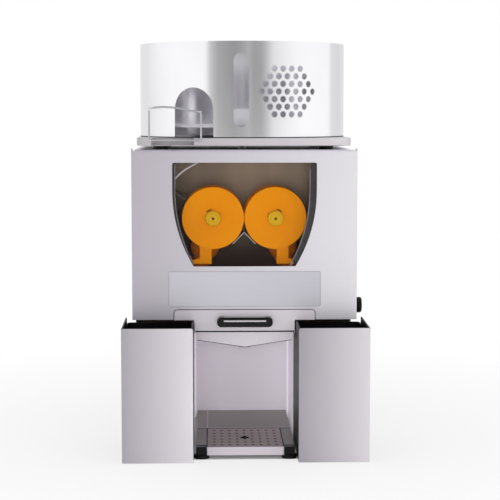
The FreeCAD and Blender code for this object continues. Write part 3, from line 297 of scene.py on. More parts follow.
# Rubber: open pores and a grey bloom.
def dull_rubber(name):
    finish = Finish(name)
    pores = finish.noise(420.0, 3.0)
    bloom = finish.noise(30.0, 4.0)
    finish.set(
        Base_Color=finish.between(bloom, shade(14, 14, 15), shade(34, 34, 36)),
        Roughness=bloom * 0.2 + 0.6,
        Normal=finish.bump(pores, 0.0001),
    )
    return finish.material


FINISHES = {
    "panel_steel": brushed_sheet("panel_steel", shade(236, 232, 240), shade(226, 222, 231), "z", 0.42, 0.55),
    "polished_steel": polished_sheet("polished_steel", shade(253, 252, 254), shade(245, 244, 248)),
    "chrome_wire": polished_sheet("chrome_wire", shade(222, 222, 226), shade(188, 188, 193)),
    "dark_steel": brushed_sheet("dark_steel", shade(190, 176, 174), shade(160, 148, 146), "y", 0.45, 0.6),
    "inner_steel": brushed_sheet("inner_steel", shade(142, 134, 124), shade(116, 109, 100), "z", 0.45, 0.5),
    "bare_plate": brushed_sheet(
        "bare_plate", shade(222, 220, 228), shade(210, 208, 217), "x", 0.5, 0.5, 0.000006),
    "black_plastic": moulded("black_plastic", shade(20, 20, 22), shade(12, 12, 14), 0.36, 0.05, spark=0.12),
    "bucket_plastic": moulded("bucket_plastic", shade(28, 28, 30), shade(19, 19, 21), 0.45),
    "drum_orange": moulded("drum_orange", shade(254, 158, 0), shade(248, 149, 0), 0.5, spark=0.1),
    "knob_yellow": moulded("knob_yellow", shade(230, 180, 2), shade(218, 166, 0), 0.4, 0.2),
    "ball_orange": moulded("ball_orange", shade(206, 112, 14), shade(182, 92, 8), 0.4, 0.1),
    "window": clear_pane("window"),
    "gear_plastic": moulded("gear_plastic", shade(238, 234, 222), shade(226, 221, 206), 0.5),
    "shaft_steel": brushed_sheet("shaft_steel", shade(206, 206, 208), shade(182, 182, 186), "y", 0.28, 1.0),
    "motor_grey": painted("motor_grey", shade(118, 121, 126), shade(96, 98, 102), 0.42),
    "rubber": dull_rubber("rubber"),
    "sheet_steel": brushed_sheet("sheet_steel", shade(214, 213, 218), shade(196, 195, 201), "x", 0.4, 0.6),
}
# Painted light and shade: the cover, bucket plates, drawer, recess and slab are darker at the left and
# lighter at the right, and the recess is painted light where little light reaches.
front_steel = sheet_in_painted_light("front_steel", shade(192, 186, 196), shade(243, 240, 246), -222, 218)
left_plate = sheet_in_painted_light("left_plate", shade(170, 164, 172), shade(234, 229, 235), -240, -100)
right_plate = sheet_in_painted_light("right_plate", shade(163, 157, 165), shade(230, 225, 231), 95, 235)
drawer_steel = sheet_in_painted_light(
    "drawer_steel", shade(212, 206, 214), shade(234, 229, 235), -138, 138, metal=0.25)
recess_steel = sheet_in_painted_light("recess_steel", shade(236, 229, 238), shade(252, 247, 254), -98, 98, metal=0.1)
# Painted light: the recess's side walls glow a little, standing in for the light that two bright walls
# facing each other throw on each other.
WALL_INSIDE = (0.0968, 0.0978)
WALL_OUTSIDE = (0.1016, 0.1022)
recess_painted_glow = Finish("recess_painted_glow", recess_steel.node_tree)
wall_side = recess_painted_glow.along("X").away_from(0)
painted_glow_mask = recess_painted_glow.clipped(wall_side, *WALL_INSIDE) - recess_painted_glow.clipped(wall_side, *WALL_OUTSIDE)
recess_painted_glow.set(
    Emission_Color=recess_painted_glow.between(painted_glow_mask, (0, 0, 0, 1), (0.19, 0.18, 0.194, 1)),
    Emission_Strength=1.0,
)
slab_steel = sheet_in_painted_light("slab_steel", shade(197, 192, 197), shade(230, 225, 230), -120, 200, along="x")
press_steel = stained_and_shaded_wall("press_steel")
handle_black = moulded("handle_black", shade(18, 15, 18), shade(12, 10, 12), 0.2, 0.12, 0.00001, 0.15)
# Painted reflection of the floor: the base is light along its front edge and darker behind it.
base_steel = sheet_in_painted_light(
    "base_steel", shade(250, 248, 255), shade(140, 134, 127), -274, -256, "Y", along="y", metal=0.25)
lip_steel = brushed_sheet("lip_steel", shade(218, 209, 217), shade(203, 195, 203), "x", 0.45, 0.15)
# Painted shade: the drip tray is dark so that the grille's holes look dark.
tray_painted_shade = brushed_sheet("tray_painted_shade", shade(40, 37, 37), shade(28, 26, 26), "y", 0.5, 0.3)
slot_shade_black = moulded("slot_shade_black", shade(34, 28, 18), shade(26, 22, 14), 0.5)
# Black for seals and small parts, and painted shade in holes, gaps and grooves.
seal_and_shade_black = moulded("seal_and_shade_black", shade(26, 26, 27), shade(18, 18, 19), 0.55)
screw_steel = brushed_sheet("screw_steel", shade(196, 196, 199), shade(160, 160, 165), "x", 0.3, 1.0)
border_grey = moulded("border_grey", shade(66, 62, 65), shade(54, 51, 54), 0.4)
plate_outline = moulded("plate_outline", shade(178, 175, 182), shade(166, 163, 170), 0.5)
border_highlight = moulded("border_highlight", shade(138, 134, 138), shade(120, 116, 120), 0.3)
knife_steel = brushed_sheet("knife_steel", shade(120, 112, 104), shade(92, 86, 80), "y", 0.35, 0.8)
# Painted highlight: light steel for bright lines on edges, folds, the chute bar and the handle.
highlight_steel = brushed_sheet("highlight_steel", shade(222, 218, 222), shade(204, 200, 205), "x", 0.4, 0.4)


# A piece from a bmesh: it gets its finish, its own or its slot's, and its body.
def finished(bm, name, body, slot, material=None, smooth=35, soften=0.0, segments=2):
    bmesh.ops.recalc_face_normals(bm, faces=bm.faces)
    mesh = bpy.data.meshes.new(name)
    bm.to_mesh(mesh)
    bm.free()
    return stood(mesh, name, body, slot, material, smooth, soften, segments)


def stood(mesh, name, body, slot, material, smooth, soften, segments):
    mesh.materials.clear()
    mesh.materials.append(material or FINISHES[slot])
    mesh.shade_smooth()
    mesh.set_sharp_from_angle(angle=math.radians(smooth))
    piece = bpy.data.objects.new(name, mesh)
    scene.collection.objects.link(piece)
    if soften:
        edge = piece.modifiers.new("edge", "BEVEL")
        edge.width = soften
        edge.segments = segments
        edge.limit_method = "ANGLE"
        edge.angle_limit = math.radians(40)
        edge.harden_normals = True
    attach(piece, body)
    return piece


# CAD solids as one mesh without double corners.
def welded(*members):
    bm = bmesh.new()
    for node in members:
        bm.from_mesh(nodes[node].data)
    bmesh.ops.remove_doubles(bm, verts=bm.verts, dist=WELD)
    return bm


# Flat neighbours become one face.
def merged_flats(bm):
    bmesh.ops.dissolve_limit(bm, angle_limit=FLAT, verts=bm.verts, edges=bm.edges)


# A copy of a CAD solid with softened edges and smooth curves.
def dressed(node, soften=0.5, smooth=32, segments=2, material=None):
    bm = welded(node)
    merged_flats(bm)
    mesh = bpy.data.meshes.new(f"{node}_finished")
    bm.to_mesh(mesh)
    bm.free()
    piece = stood(
        mesh, f"{node}_finished", body_of[node], slot_of[node], material, smooth, soften * MM, segments)
    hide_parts(node)


for node, part in nodes.items():
    part.data.materials.clear()
    part.data.materials.append(FINISHES[slot_of[node]])

SOFT_EDGES = {
    "side_panels": 0.4, "top_panel": 0.3, "rear_cover": 0.4,
    "feeder_spacers": 0.5, "drip_grille": 0.4, "front_feet": 1.2,
    "housing_feet": 0.8, "bucket_left": 1.0, "bucket_right": 1.0,
    "cup_drum_left": 0.8, "cup_drum_right": 0.8, "ball_drum_left": 0.8, "ball_drum_right": 0.8,
    "knife_holder": 0.4, "peel_ejectors": 2.4, "feeder_rotor": 0.4,
    "switch_knob": 0.8, "name_plate": 0.2, "mains_inlet": 0.5, "deck_plate": 0.3,
}
for node, soften in SOFT_EDGES.items():
    dressed(node, soften)
OWN_FINISH = {
    "juice_tray": (0.3, drawer_steel),
    "bucket_plate_left": (0.3, left_plate), "bucket_plate_right": (0.3, right_plate),
    "recess_shell": (0.4, recess_steel), "feeder_base": (0.6, slab_steel), "press_wall": (0.3, press_steel),
    "drawer_handle": (2.5, handle_black), "knife": (0.1, knife_steel), "drip_tray": (0.3, tray_painted_shade),
    "base_frame": (0.6, base_steel), "fruit_chute": (0.3, knife_steel),
}
for node, (soften, material) in OWN_FINISH.items():
    dressed(node, soften, segments=3, material=material)


# Sheet made of two nodes that are welded edge to edge, shown as the one sheet that it is.
def seamless(name, parts, level, side, outside, soften, material):
    bm = welded(*parts)
    for place in (-side, side):
        whole = bm.verts[:] + bm.edges[:] + bm.faces[:]
        bmesh.ops.bisect_plane(bm, geom=whole, dist=SPLIT, plane_co=(place, 0, 0), plane_no=(1, 0, 0))
    weld = []
    for face in bm.faces:
        middle = face.calc_center_median()
        at_seam = abs(middle.z - level) < 0.01 * MM and abs(face.normal.z) > 0.9
        if at_seam and (abs(middle.x) > side) == outside:
            weld.append(face)
    bmesh.ops.delete(bm, geom=weld, context="FACES")
    bmesh.ops.remove_doubles(bm, verts=bm.verts, dist=0.005 * MM)
    merged_flats(bm)
    mesh = bpy.data.meshes.new(name)
    bm.to_mesh(mesh)
    bm.free()
    piece = stood(mesh, name, body_of[parts[0]], slot_of[parts[0]], material, 32, soften * MM, 2)
    for node in parts:
        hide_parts(node)


corner_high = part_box("cover_corners")[1]
notch_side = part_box("drawer_front")[1].x + 0.6 * MM
seamless(
    "front_cover_sheet", ("front_cover", "cover_corners"), corner_high.z, notch_side, True, 0.5, front_steel)
apron_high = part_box("drawer_apron")[1]
seamless(
    "drawer_front_sheet", ("drawer_front", "drawer_apron"), apron_high.z, apron_high.x, False, 0.5,
    drawer_steel)


# Shapes in millimetres, moved to their place at the end.
def turned(profile, at, facing, steps=48, sweep=360, start=0):
    """A turned shape: its profile is radius and height above the place it stands on."""
    bm = bmesh.new()
    turn = Matrix.Rotation(math.radians(start), 3, "Z")
    corners = [bm.verts.new(turn @ Vector((radius, 0, height))) for radius, height in profile]
    lines = [bm.edges.new(pair) for pair in zip(corners, corners[1:])]
    whole = sweep == 360
    bmesh.ops.spin(
        bm, geom=corners + lines, cent=(0, 0, 0), axis=(0, 0, 1), angle=math.radians(sweep), steps=steps,
        use_merge=whole, use_duplicate=False,
    )
    bmesh.ops.remove_doubles(bm, verts=bm.verts, dist=0.001)
    if not whole:
        bmesh.ops.holes_fill(bm, edges=[edge for edge in bm.edges if edge.is_boundary])
    return set_down(bm, at, facing)


def set_down(bm, at, facing=(0, 0, 1)):
    """A shape in millimetres put in its place, standing towards facing."""
    rise = Vector((0, 0, 1)).rotation_difference(Vector(facing)).to_matrix().to_4x4()
    if facing == (0, -1, 0):
        rise = Matrix.Rotation(QUARTER, 4, "X")  # about X, so that a sweep's angles keep their sense
    bmesh.ops.transform(bm, matrix=Matrix.Scale(MM, 4) @ Matrix.Translation(at) @ rise, verts=bm.verts)
    return bm


def strip(low, high):
    """A thin flat bar between two corners."""
    bm = bmesh.new()
    size = Vector(high) - Vector(low)
    bmesh.ops.create_cube(bm, size=1)
    bmesh.ops.scale(bm, vec=size, verts=bm.verts)
    return set_down(bm, (Vector(low) + Vector(high)) / 2)


def together(*parts):
    """Several shapes as one."""
    whole = bmesh.new()
    for part in parts:
        mesh = bpy.data.meshes.new("loose")
        part.to_mesh(mesh)
        part.free()
        whole.from_mesh(mesh)
        bpy.data.meshes.remove(mesh)
    return whole


# Bent round wire or bar along a smooth line through its control points.
def bent(name, points, radius, body, slot, material=None):
    line = bpy.data.curves.new(name, "CURVE")
    line.dimensions = "3D"
    run = line.splines.new("NURBS")
    run.points.add(len(points) - 1)
    for place, point in zip(run.points, points):
        place.co = (*(Vector(point) * MM), 1)
    run.order_u = 3
    run.use_endpoint_u = True
    run.resolution_u = 8
    line.bevel_depth = radius * MM
    line.bevel_resolution = 4
    line.use_fill_caps = True
    holder = bpy.data.objects.new(name, line)
    scene.collection.objects.link(holder)
    mesh = bpy.data.meshes.new_from_object(holder.evaluated_get(bpy.context.evaluated_depsgraph_get()))
    bpy.data.objects.remove(holder)
    return stood(mesh, name, body, slot, material, 60, 0, 0)


def ends(node):
    """A node's lowest and highest corners in millimetres."""
    low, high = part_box(node)
    return Vector(low) / MM, Vector(high) / MM


# The walls of the grille's holes are dark, in the shade of the tray below, and its front fold is light.
grille = bpy.data.objects["drip_grille_finished"].data
grille.materials.append(seal_and_shade_black)
grille.materials.append(lip_steel)
grille_low, grille_high = ends("drip_grille")
for face in grille.polygons:
    at = face.center / MM
    inside = grille_low.x + 3 < at.x < grille_high.x - 3 and grille_low.y + 3 < at.y < grille_high.y - 3
    if inside and abs(face.normal.z) < 0.5:
        face.material_index = 1
    elif at.y < grille_low.y + 1 and face.normal.y < -0.7:
        face.material_index = 2

# Countersinks round the grille's holes, as flat dark rings of painted shade.
bm = bmesh.new()
bm.from_mesh(grille)
walls = {face for face in bm.faces if face.material_index == 1}
countersinks = []
while walls:
    hole = [walls.pop()]
    for face in hole:
        for edge in face.edges:
            for other in edge.link_faces:
                if other in walls:
                    walls.discard(other)
                    hole.append(other)
    corners = [vert.co / MM for face in hole for vert in face.verts]
    middle = sum(corners, Vector()) / len(corners)
    reach = max((corner.xy - middle.xy).length for corner in corners)
    ring = [(reach - 0.1, 0), (reach + 0.9, 0), (reach + 0.9, 0.06), (reach - 0.1, 0.06), (reach - 0.1, 0)]
    countersinks.append(turned(ring, (middle.x, middle.y, grille_high.z), (0, 0, 1), 20))
bm.free()
finished(together(*countersinks), "grille_countersink_shade", "drip_grille", "dark_steel", seal_and_shade_black, smooth=50)


# The basket's wall gets normals that point exactly outward, so its polish shows no flats.
def round_basket():
    bm = welded("basket")
    mesh = bpy.data.meshes.new("basket_polished")
    bm.to_mesh(mesh)
    bm.free()
    low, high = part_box("basket")
    centre = (low + high) / 2
    piece = stood(mesh, "basket_polished", body_of["basket"], slot_of["basket"], None, 40, 0, 0)
    normals = []
    for face in mesh.polygons:
        for corner in face.vertices:
            out = mesh.vertices[corner].co - centre
            out.z = 0
            out.normalize()
            facing = face.normal.dot(out)
            if abs(facing) > 0.9:
                normals.append(out * math.copysign(1, facing))
            else:
                normals.append(face.normal.copy())
    mesh.normals_split_custom_set(normals)
    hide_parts("basket")


round_basket()


# Lock knobs: turned yellow knobs with a ring groove, gripping flutes and a dark centre.
KNOBS = ("drum_knob_upper_left", "drum_knob_upper_right", "drum_knob_lower_left", "drum_knob_lower_right")
for knob in KNOBS:
    low, high = ends(knob)
    middle = (low + high) / 2
    foot = (middle.x, high.y, middle.z)
    tall = high.y - low.y
    wide = (high.x - low.x) / 2
    profile = [
        (0, 0.1), (wide, 0.1), (wide, tall - 2.4), (wide - 0.8, tall - 0.9), (wide - 2.2, tall),
        (wide - 4.0, tall), (wide - 4.6, tall - 0.9), (wide - 5.4, tall - 0.9), (wide - 6.0, tall),
        (3.2, tall), (2.2, tall - 1.4), (2.2, tall - 5), (0, tall - 5),
    ]
    shape = turned(profile, foot, (0, -1, 0), steps=54)
    grips = []
    for face in shape.faces:
        if abs(face.normal.y) < 0.1 and face.calc_area() > 18 * MM * MM:
            grips.append(face)
    hub = middle * MM
    grips.sort(key=lambda face: math.atan2(
        face.calc_center_median().z - hub.z, face.calc_center_median().x - hub.x))
    bmesh.ops.inset_individual(shape, faces=grips[::2], thickness=0.25 * MM, depth=-0.5 * MM)
    piece = finished(shape, f"{knob}_turned", body_of[knob], "knob_yellow", smooth=40)
    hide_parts(knob)
    centre = turned(
        [(0, 0), (1.9, 0), (1.9, 2.6), (1.2, 3.2), (0, 3.2)],
        (middle.x, low.y + 4.8, middle.z), (0, -1, 0), 20)
    finished(centre, f"{knob}_centre", body_of[knob], "black_plastic", seal_and_shade_black)

# Dark arcs of painted shade in the bayonet slots of the cup drums beside each knob: angle from the top and
# sweep in degrees.
MARKS = ((27, 34), (-55, 7))
MARK_INSIDE = 16.2
MARK_OUTSIDE = 18.2
for side, sign in (("left", 1), ("right", -1)):
    low, high = ends(f"drum_knob_upper_{side}")
    middle = (low + high) / 2
    face_at = (middle.x, ends(f"cup_drum_{side}")[0].y, middle.z)
    marks = []
    for angle, sweep in MARKS:
        profile = [
            (MARK_INSIDE, -0.2), (MARK_INSIDE, 0.4), (MARK_OUTSIDE, 0.4), (MARK_OUTSIDE, -0.2),
            (MARK_INSIDE, -0.2),
        ]
        marks.append(turned(profile, face_at, (0, -1, 0), 10, sweep, 90 + sign * angle - sweep / 2))
    finished(together(*marks), f"lock_slot_shade_{side}", body_of[f"cup_drum_{side}"], "drum_orange", slot_shade_black)


# Flat border along a plate's outline, taken from the plate's own face.
def border_of(node, facing, near, far, off, deep, keep, split=None):
    bm = welded(node)
    merged_flats(bm)
    side = max(bm.faces, key=lambda face: face.calc_area() * (face.normal.y * facing > 0.9))
    bmesh.ops.delete(bm, geom=[face for face in bm.faces if face is not side], context="FACES")
    if near:
        skipped = bmesh.ops.inset_region(
            bm, faces=bm.faces[:], thickness=near * MM, use_even_offset=True, use_boundary=True)
        bmesh.ops.delete(bm, geom=skipped["faces"], context="FACES")
    kept = bmesh.ops.inset_region(
        bm, faces=bm.faces[:], thickness=(far - near) * MM, use_even_offset=True, use_boundary=True)
    border = set(kept["faces"])
    bmesh.ops.delete(bm, geom=[face for face in bm.faces if face not in border], context="FACES")
    if split is not None:
        whole = bm.verts[:] + bm.edges[:] + bm.faces[:]
        bmesh.ops.bisect_plane(
            bm, geom=whole, dist=SPLIT, plane_co=(split * MM, 0, 0), plane_no=(1, 0, 0))
    spare = [face for face in bm.faces if not keep(face.calc_center_median() / MM)]
    bmesh.ops.delete(bm, geom=spare, context="FACES")
    raised = bmesh.ops.extrude_face_region(bm, geom=bm.faces[:])
    lifted = [part for part in raised["geom"] if isinstance(part, bmesh.types.BMVert)]
    bmesh.ops.translate(bm, vec=(0, facing * deep * MM, 0), verts=lifted)
    bmesh.ops.translate(bm, vec=(0, facing * off * MM, 0), verts=bm.verts)
    return bm


# Dark border behind the window pane along its curved sides, with a light edge line of painted highlight.
pane_high = ends("window_pane")[1]
for side, sign, wide in (("left", -1, 13), ("right", 1, 21)):
    inner = pane_high.x - wide

    def outside(at):
        return at.x * sign > 80

    def beside(at):
        return at.x * sign > inner or (outside(at) and at.z < pane_high.z - 22)

    border = border_of("window_pane", 1, 0, wide, 0.05, 0.4, beside, sign * inner)
    finished(border, f"pane_border_{side}", "front_cover", "black_plastic", border_grey)
    border = border_of("window_pane", 1, wide, wide + 1.8, 0.05, 0.6, outside)
    finished(border, f"pane_edge_highlight_{side}", "front_cover", "black_plastic", border_highlight)

# Fine dark outline of the plain plate under the window.
outline = border_of("name_plate", -1, 0, 0.9, 0.02, 0.15, lambda at: True)
finished(outline, "name_plate_outline", "front_cover", "bare_plate", plate_outline)

# Round inner corners of the cover's notch, beside the drawer's round corners.
fillets = []
notch_x, notch_z = notch_side / MM, corner_high.z / MM
FILLET = 8.6
FILLET_ROOT = 9.4
for sign in (-1, 1):
    bm = bmesh.new()
    round_from = bm.verts.new((FILLET, 0, 0))
    bmesh.ops.spin(bm, geom=[round_from], cent=(0, 0, 0), axis=(0, 0, 1), angle=QUARTER, steps=8)
    bm.verts.new((FILLET_ROOT, 0, 0))
    bm.verts.new((FILLET_ROOT, FILLET_ROOT, 0))
    bm.verts.new((0, FILLET_ROOT, 0))
    bm.verts.ensure_lookup_table()
    arc = sorted(bm.verts[:9], key=lambda vert: vert.co.y)
    bm.faces.new([*arc, bm.verts[11], bm.verts[10], bm.verts[9]])
    raised = bmesh.ops.extrude_face_region(bm, geom=bm.faces[:])
    tops = [part for part in raised["geom"] if isinstance(part, bmesh.types.BMVert)]
    bmesh.ops.translate(bm, vec=(0, 0, 1.4), verts=tops)
    if sign < 0:
        bmesh.ops.scale(bm, vec=(-1, 1, 1), verts=bm.verts)
    bmesh.ops.rotate(bm, cent=(0, 0, 0), matrix=Matrix.Rotation(QUARTER, 3, "X"), verts=bm.verts)
    fillets.append(set_down(bm, (sign * (notch_x - FILLET), COVER_FACE, notch_z - FILLET)))
finished(together(*fillets), "cover_notch_fillets", "front_cover", "panel_steel", front_steel)

# Painted highlight: bright lines along the front edges of the knife's roof.
roof_low, roof_high = ends("knife_holder")
bent("knife_roof_highlight", [
    (roof_low.x + 0.6, roof_low.y - 0.3, roof_low.z + 1), (-3, roof_low.y - 0.3, roof_high.z - 2.6),
    (0, roof_low.y - 0.3, roof_high.z - 0.3), (3, roof_low.y - 0.3, roof_high.z - 2.6),
    (roof_high.x - 0.6, roof_low.y - 0.3, roof_low.z + 1),
], 0.8, "housing", "polished_steel", highlight_steel)

# Bent bar in front of the chute, from the chute's outer wall up to the top panel; its light finish is a
# painted highlight.
BAR_Y = -190
BAR_LINE = (
    (-166, 498), (-150, 518), (-141, 528), (-131, 539), (-118, 550), (-105, 558), (-90, 566), (-76, 577),
    (-66, 587),
)
bent(
    "chute_front_bar", [(x, BAR_Y, z) for x, z in BAR_LINE], 1.7, "housing", "shaft_steel", highlight_steel)

# Wire guard round the drop hole.
low, high = ends("wire_guard")
wire = 1.9
left, right = low.x + wire, high.x - wire
reach, root, foot_z = low.y + wire, high.y, low.z + wire
guard = bent("guard_top_wire", [
    (right, root - 14, 664), (right, reach + 16, 663), (right, reach, 663), (right - 22, reach, 666),
    (right - 50, reach, 672), (left + 26, reach, 673.5), (left, reach, 671), (left, reach + 22, 669),
    (left, root, 668),
], wire, "housing", "chrome_wire")
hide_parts("wire_guard")
bent("guard_low_wire", [
    (right, root - 28, foot_z), (right, reach + 12, foot_z), (right, reach, foot_z),
    (right - 12, reach, foot_z), (left + 12, reach, foot_z), (left, reach, foot_z),
    (left, reach + 12, foot_z), (left, root - 24, foot_z),
], wire, "housing", "chrome_wire")
POST_Y = -203.8
for side, x, tip in (("left", left, 667), ("right", right, 665)):
    post = [(x, POST_Y, foot_z), (x, POST_Y, 640), (x, POST_Y, tip)]
    bent(f"guard_post_{side}", post, wire, "housing", "chrome_wire")


# Button-head screws with a hexagon socket.
def screw(at, facing, radius=3.6):
    profile = [
        (0, 0), (radius, 0), (radius, 0.5), (radius * 0.86, 1.1), (radius * 0.5, 1.5), (radius * 0.42, 1.5),
    ]
    head = turned(profile, (0, 0, 0), (0, 0, 1), 24)
    bmesh.ops.transform(head, matrix=Matrix.Scale(1 / MM, 4), verts=head.verts)  # millimetres again
    rim = [edge for edge in head.edges if edge.is_boundary]
    hexagon = bmesh.ops.create_circle(head, cap_ends=True, segments=6, radius=radius * 0.36)
    bmesh.ops.translate(head, vec=(0, 0, 0.6), verts=hexagon["verts"])
    hexagon_rim = list({edge for vert in hexagon["verts"] for edge in vert.link_edges})
    bmesh.ops.bridge_loops(head, edges=rim + hexagon_rim)
    return set_down(head, at, facing)


SCREW_PLACES = (
    (296, 24), (296, 210), (296, 400), (296, 570), (60, 24), (-40, 24), (60, 574), (-90, 574), (60, 232),
)
side_screws = []
for sign in (-1, 1):
    for y, z in SCREW_PLACES:
        side_screws.append(screw((sign * SIDE_FACE, y, z), (sign, 0, 0)))
finished(together(*side_screws), "side_screws", "housing", "shaft_steel", screw_steel, smooth=40)

# Folded hoods behind the rear louvre slots, in two fields.
FIELD_X = 87
FIELD_Z = 456
SLOT_HALF = 54
SLOT_PITCH = 18
hoods = []
for row in range(ROWS_OF_LOUVRES):
    for sign in (-1, 1):
        slot_x = sign * FIELD_X
        slot_low = FIELD_Z + SLOT_PITCH * (row - ROWS_OF_LOUVRES / 2)
        hood = strip((slot_x - SLOT_HALF, 300, slot_low - 1.2), (slot_x + SLOT_HALF, 308.6, slot_low))
        inner_edge = [vert for vert in hood.verts if vert.co.y < 305 * MM]
        bmesh.ops.translate(hood, vec=(0, 0, 7 * MM), verts=inner_edge)
        hoods.append(hood)
finished(together(*hoods), "rear_louvre_hoods", "housing", "panel_steel", smooth=30)

# Rolled hem round the top of the basket, and a dark line of painted shade round its foot.
rim_low, rim_high = ends("basket")
rim_middle = (rim_low + rim_high) / 2
wall = (rim_high.x - rim_low.x) / 2
hem = turned(
    [(wall - 2.6, -4.5), (wall - 0.1, -4.5), (wall - 0.05, -3.9), (wall - 0.05, -0.7), (wall - 0.7, -0.1),
     (wall - 1.9, -0.1), (wall - 2.6, -0.7), (wall - 2.6, -4.5)],
    (rim_middle.x, rim_middle.y, rim_high.z), (0, 0, 1), 160)
finished(hem, "basket_hem", "housing", "polished_steel", smooth=50)
foot_line = turned(
    [(wall + 0.05, 0.1), (wall + 0.35, 0.1), (wall + 0.35, 1.9), (wall + 0.05, 1.9), (wall + 0.05, 0.1)],
    (rim_middle.x, rim_middle.y, rim_low.z), (0, 0, 1), 160)
finished(foot_line, "basket_foot_shade", "housing", "black_plastic", seal_and_shade_black, smooth=50)

# Base: black strips of painted shade in the grooves beside the tray and across its back, and bright folds
# with painted highlight beside the back plate.
tray_low, tray_high = ends("drip_tray")
base_low, base_high = ends("base_frame")
top = base_high.z
grooves = [
    strip((tray_low.x - 2.6, tray_low.y, top - 0.6), (tray_low.x - 0.2, tray_high.y, top + 0.25)),
    strip((tray_high.x + 0.2, tray_low.y, top - 0.6), (tray_high.x + 2.6, tray_high.y, top + 0.25)),
    strip((base_low.x + 1, tray_high.y - 0.8, top - 0.6), (base_high.x - 1, tray_high.y + 3.4, top + 0.25)),
]
finished(together(*grooves), "base_groove_shade", "housing", "black_plastic", seal_and_shade_black, smooth=30)
folds = [
    strip((base_low.x + 1, tray_high.y + 3.8, top - 0.5), (base_high.x - 1, tray_high.y + 7.4, top + 0.4)),
    strip((tray_low.x - 1.2, tray_high.y + 7.4, top - 0.5), (tray_low.x + 0.2, base_high.y - 2, top + 0.4)),
]
finished(together(*folds), "base_fold_highlights", "housing", "dark_steel", highlight_steel, smooth=30)

# Drain well under the middle hole of the drip grille, black as painted shade.
well = turned(
    [(0, 0), (8.6, 0), (8.6, 0.8), (7.6, 1.4), (0, 1.0)],
    (0, (tray_low.y + tray_high.y) / 2, top - 4.4), (0, 0, 1), 32)
finished(well, "drain_hole_shade", "housing", "dark_steel", seal_and_shade_black, smooth=40)

# Drawer: a dark strip of painted shade in the gap below its front, a dark outline, a painted
# reflection band along the handle and a dark edge under the tray's V-shaped lip.
apron_low, apron_high = ends("drawer_apron")
seam = strip(
    (apron_low.x + 1, apron_low.y - 0.25, apron_low.z - 1.5),
    (apron_high.x - 1, apron_low.y + 0.5, apron_low.z + 1.2))
finished(seam, "drawer_gap_shade", "juice_drawer", "black_plastic", seal_and_shade_black, smooth=30)
outline = border_of("drawer_front", -1, 0, 0.8, 0.02, 0.15, lambda at: at.z > apron_high.z + 1)
finished(outline, "drawer_outline", "juice_drawer", "black_plastic", border_grey)
grip_low, grip_high = ends("drawer_handle")
grip_z = (grip_low.z + grip_high.z) / 2 + 2.6
bent("handle_reflection_band", [(x, grip_low.y + 1.6, grip_z) for x in (-41, -30, 0, 30, 41)],
     2.3, "juice_drawer", "black_plastic", highlight_steel)
lip_low = ends("juice_tray")[0]
front_edge = [v.co / MM for v in nodes["juice_tray"].data.vertices if v.co.y < (lip_low.y + 1) * MM]
middle_z = min(at.z for at in front_edge)
side_x = max(at.x for at in front_edge)
side_z = min(at.z for at in front_edge if at.x > side_x - 0.5)
for side, sign in (("left", -1), ("right", 1)):
    edge_line = [(0, lip_low.y, middle_z), (sign * (side_x - 1), lip_low.y, side_z)]
    bent(f"lip_edge_{side}", edge_line, 0.55, "juice_drawer", "black_plastic", seal_and_shade_black)

# Folded lip along the top panel's front edge.
lip = strip((-212, -199.2, 587.9), (212, -197.8, 590.8))
finished(lip, "top_panel_lip", "housing", "panel_steel", front_steel, soften=0.3 * MM)

# Slab: a seam near its left end and a dark lower edge line.
slab_low, slab_high = ends("feeder_base")
seams = [
    strip((-178.6, slab_low.y - 0.1, slab_low.z + 0.6), (-177.6, slab_low.y + 0.6, slab_high.z - 0.6)),
    strip((-176, slab_low.y - 0.15, slab_low.z + 0.1), (192, slab_low.y + 0.6, slab_low.z + 1.6)),
]
finished(together(*seams), "slab_seams", "housing", "black_plastic", plate_outline, smooth=30)

# Pointer on the switch knob, and its ring on the side panel.
knob_low, knob_high = ends("switch_knob")
knob_middle = (knob_low + knob_high) / 2
pointer = strip(
    (knob_high.x - 0.5, knob_middle.y - 0.8, knob_middle.z + 2),
    (knob_high.x - 0.02, knob_middle.y + 0.8, knob_high.z - 2.5))
finished(pointer, "switch_pointer", "switch_knob", "black_plastic", FINISHES["gear_plastic"], smooth=30)
ring = turned(
    [(16.4, 0), (19.5, 0), (19.5, 0.9), (19.0, 1.3), (16.8, 1.3), (16.4, 0.9), (16.4, 0)],
    (SIDE_FACE, knob_middle.y, knob_middle.z), (1, 0, 0), 48)
finished(ring, "switch_ring", "housing", "black_plastic", seal_and_shade_black, smooth=40)

# Contact pins in the mains inlet.
inlet_low, inlet_high = ends("mains_inlet")
inlet_middle = (inlet_low + inlet_high) / 2
pins = []
for across, up in ((-8, -2), (8, -2), (0, 3)):
    at = Vector((inlet_middle.x + across, inlet_high.y - 11, inlet_middle.z + up))
    pins.append(strip(at - Vector((1, 0, 2)), at + Vector((1, 8.5, 2))))
finished(together(*pins), "inlet_pins", "housing", "shaft_steel", smooth=30)


# Floor. Far from the object it passes into plain white, and under the housing it stays dark. The
# footprint is in metres.
FOOT_SIDE = 0.208
FOOT_FRONT = -0.28
FOOT_BACK = 0.296
bm = bmesh.new()
bmesh.ops.create_grid(bm, x_segments=1, y_segments=1, size=8)
floor_mesh = bpy.data.meshes.new("floor")
bm.to_mesh(floor_mesh)
bm.free()
floor = bpy.data.objects.new("floor", floor_mesh)
scene.collection.objects.link(floor)
floor_finish = Finish("floor_white")
floor_finish.set(Base_Color=shade(252, 252, 252), Roughness=0.7)
ray = floor_finish.tree.nodes.new("ShaderNodeLightPath")
looked_at = Value(floor_finish, ray.outputs["Is Camera Ray"])
looked_at = looked_at + Value(floor_finish, ray.outputs["Is Glossy Ray"])
from_centre = floor_finish.add(
    "ShaderNodeVectorMath", {"operation": "LENGTH"}, {0: floor_finish.place()}, output=1)
white = floor_finish.tree.nodes.new("ShaderNodeEmission")
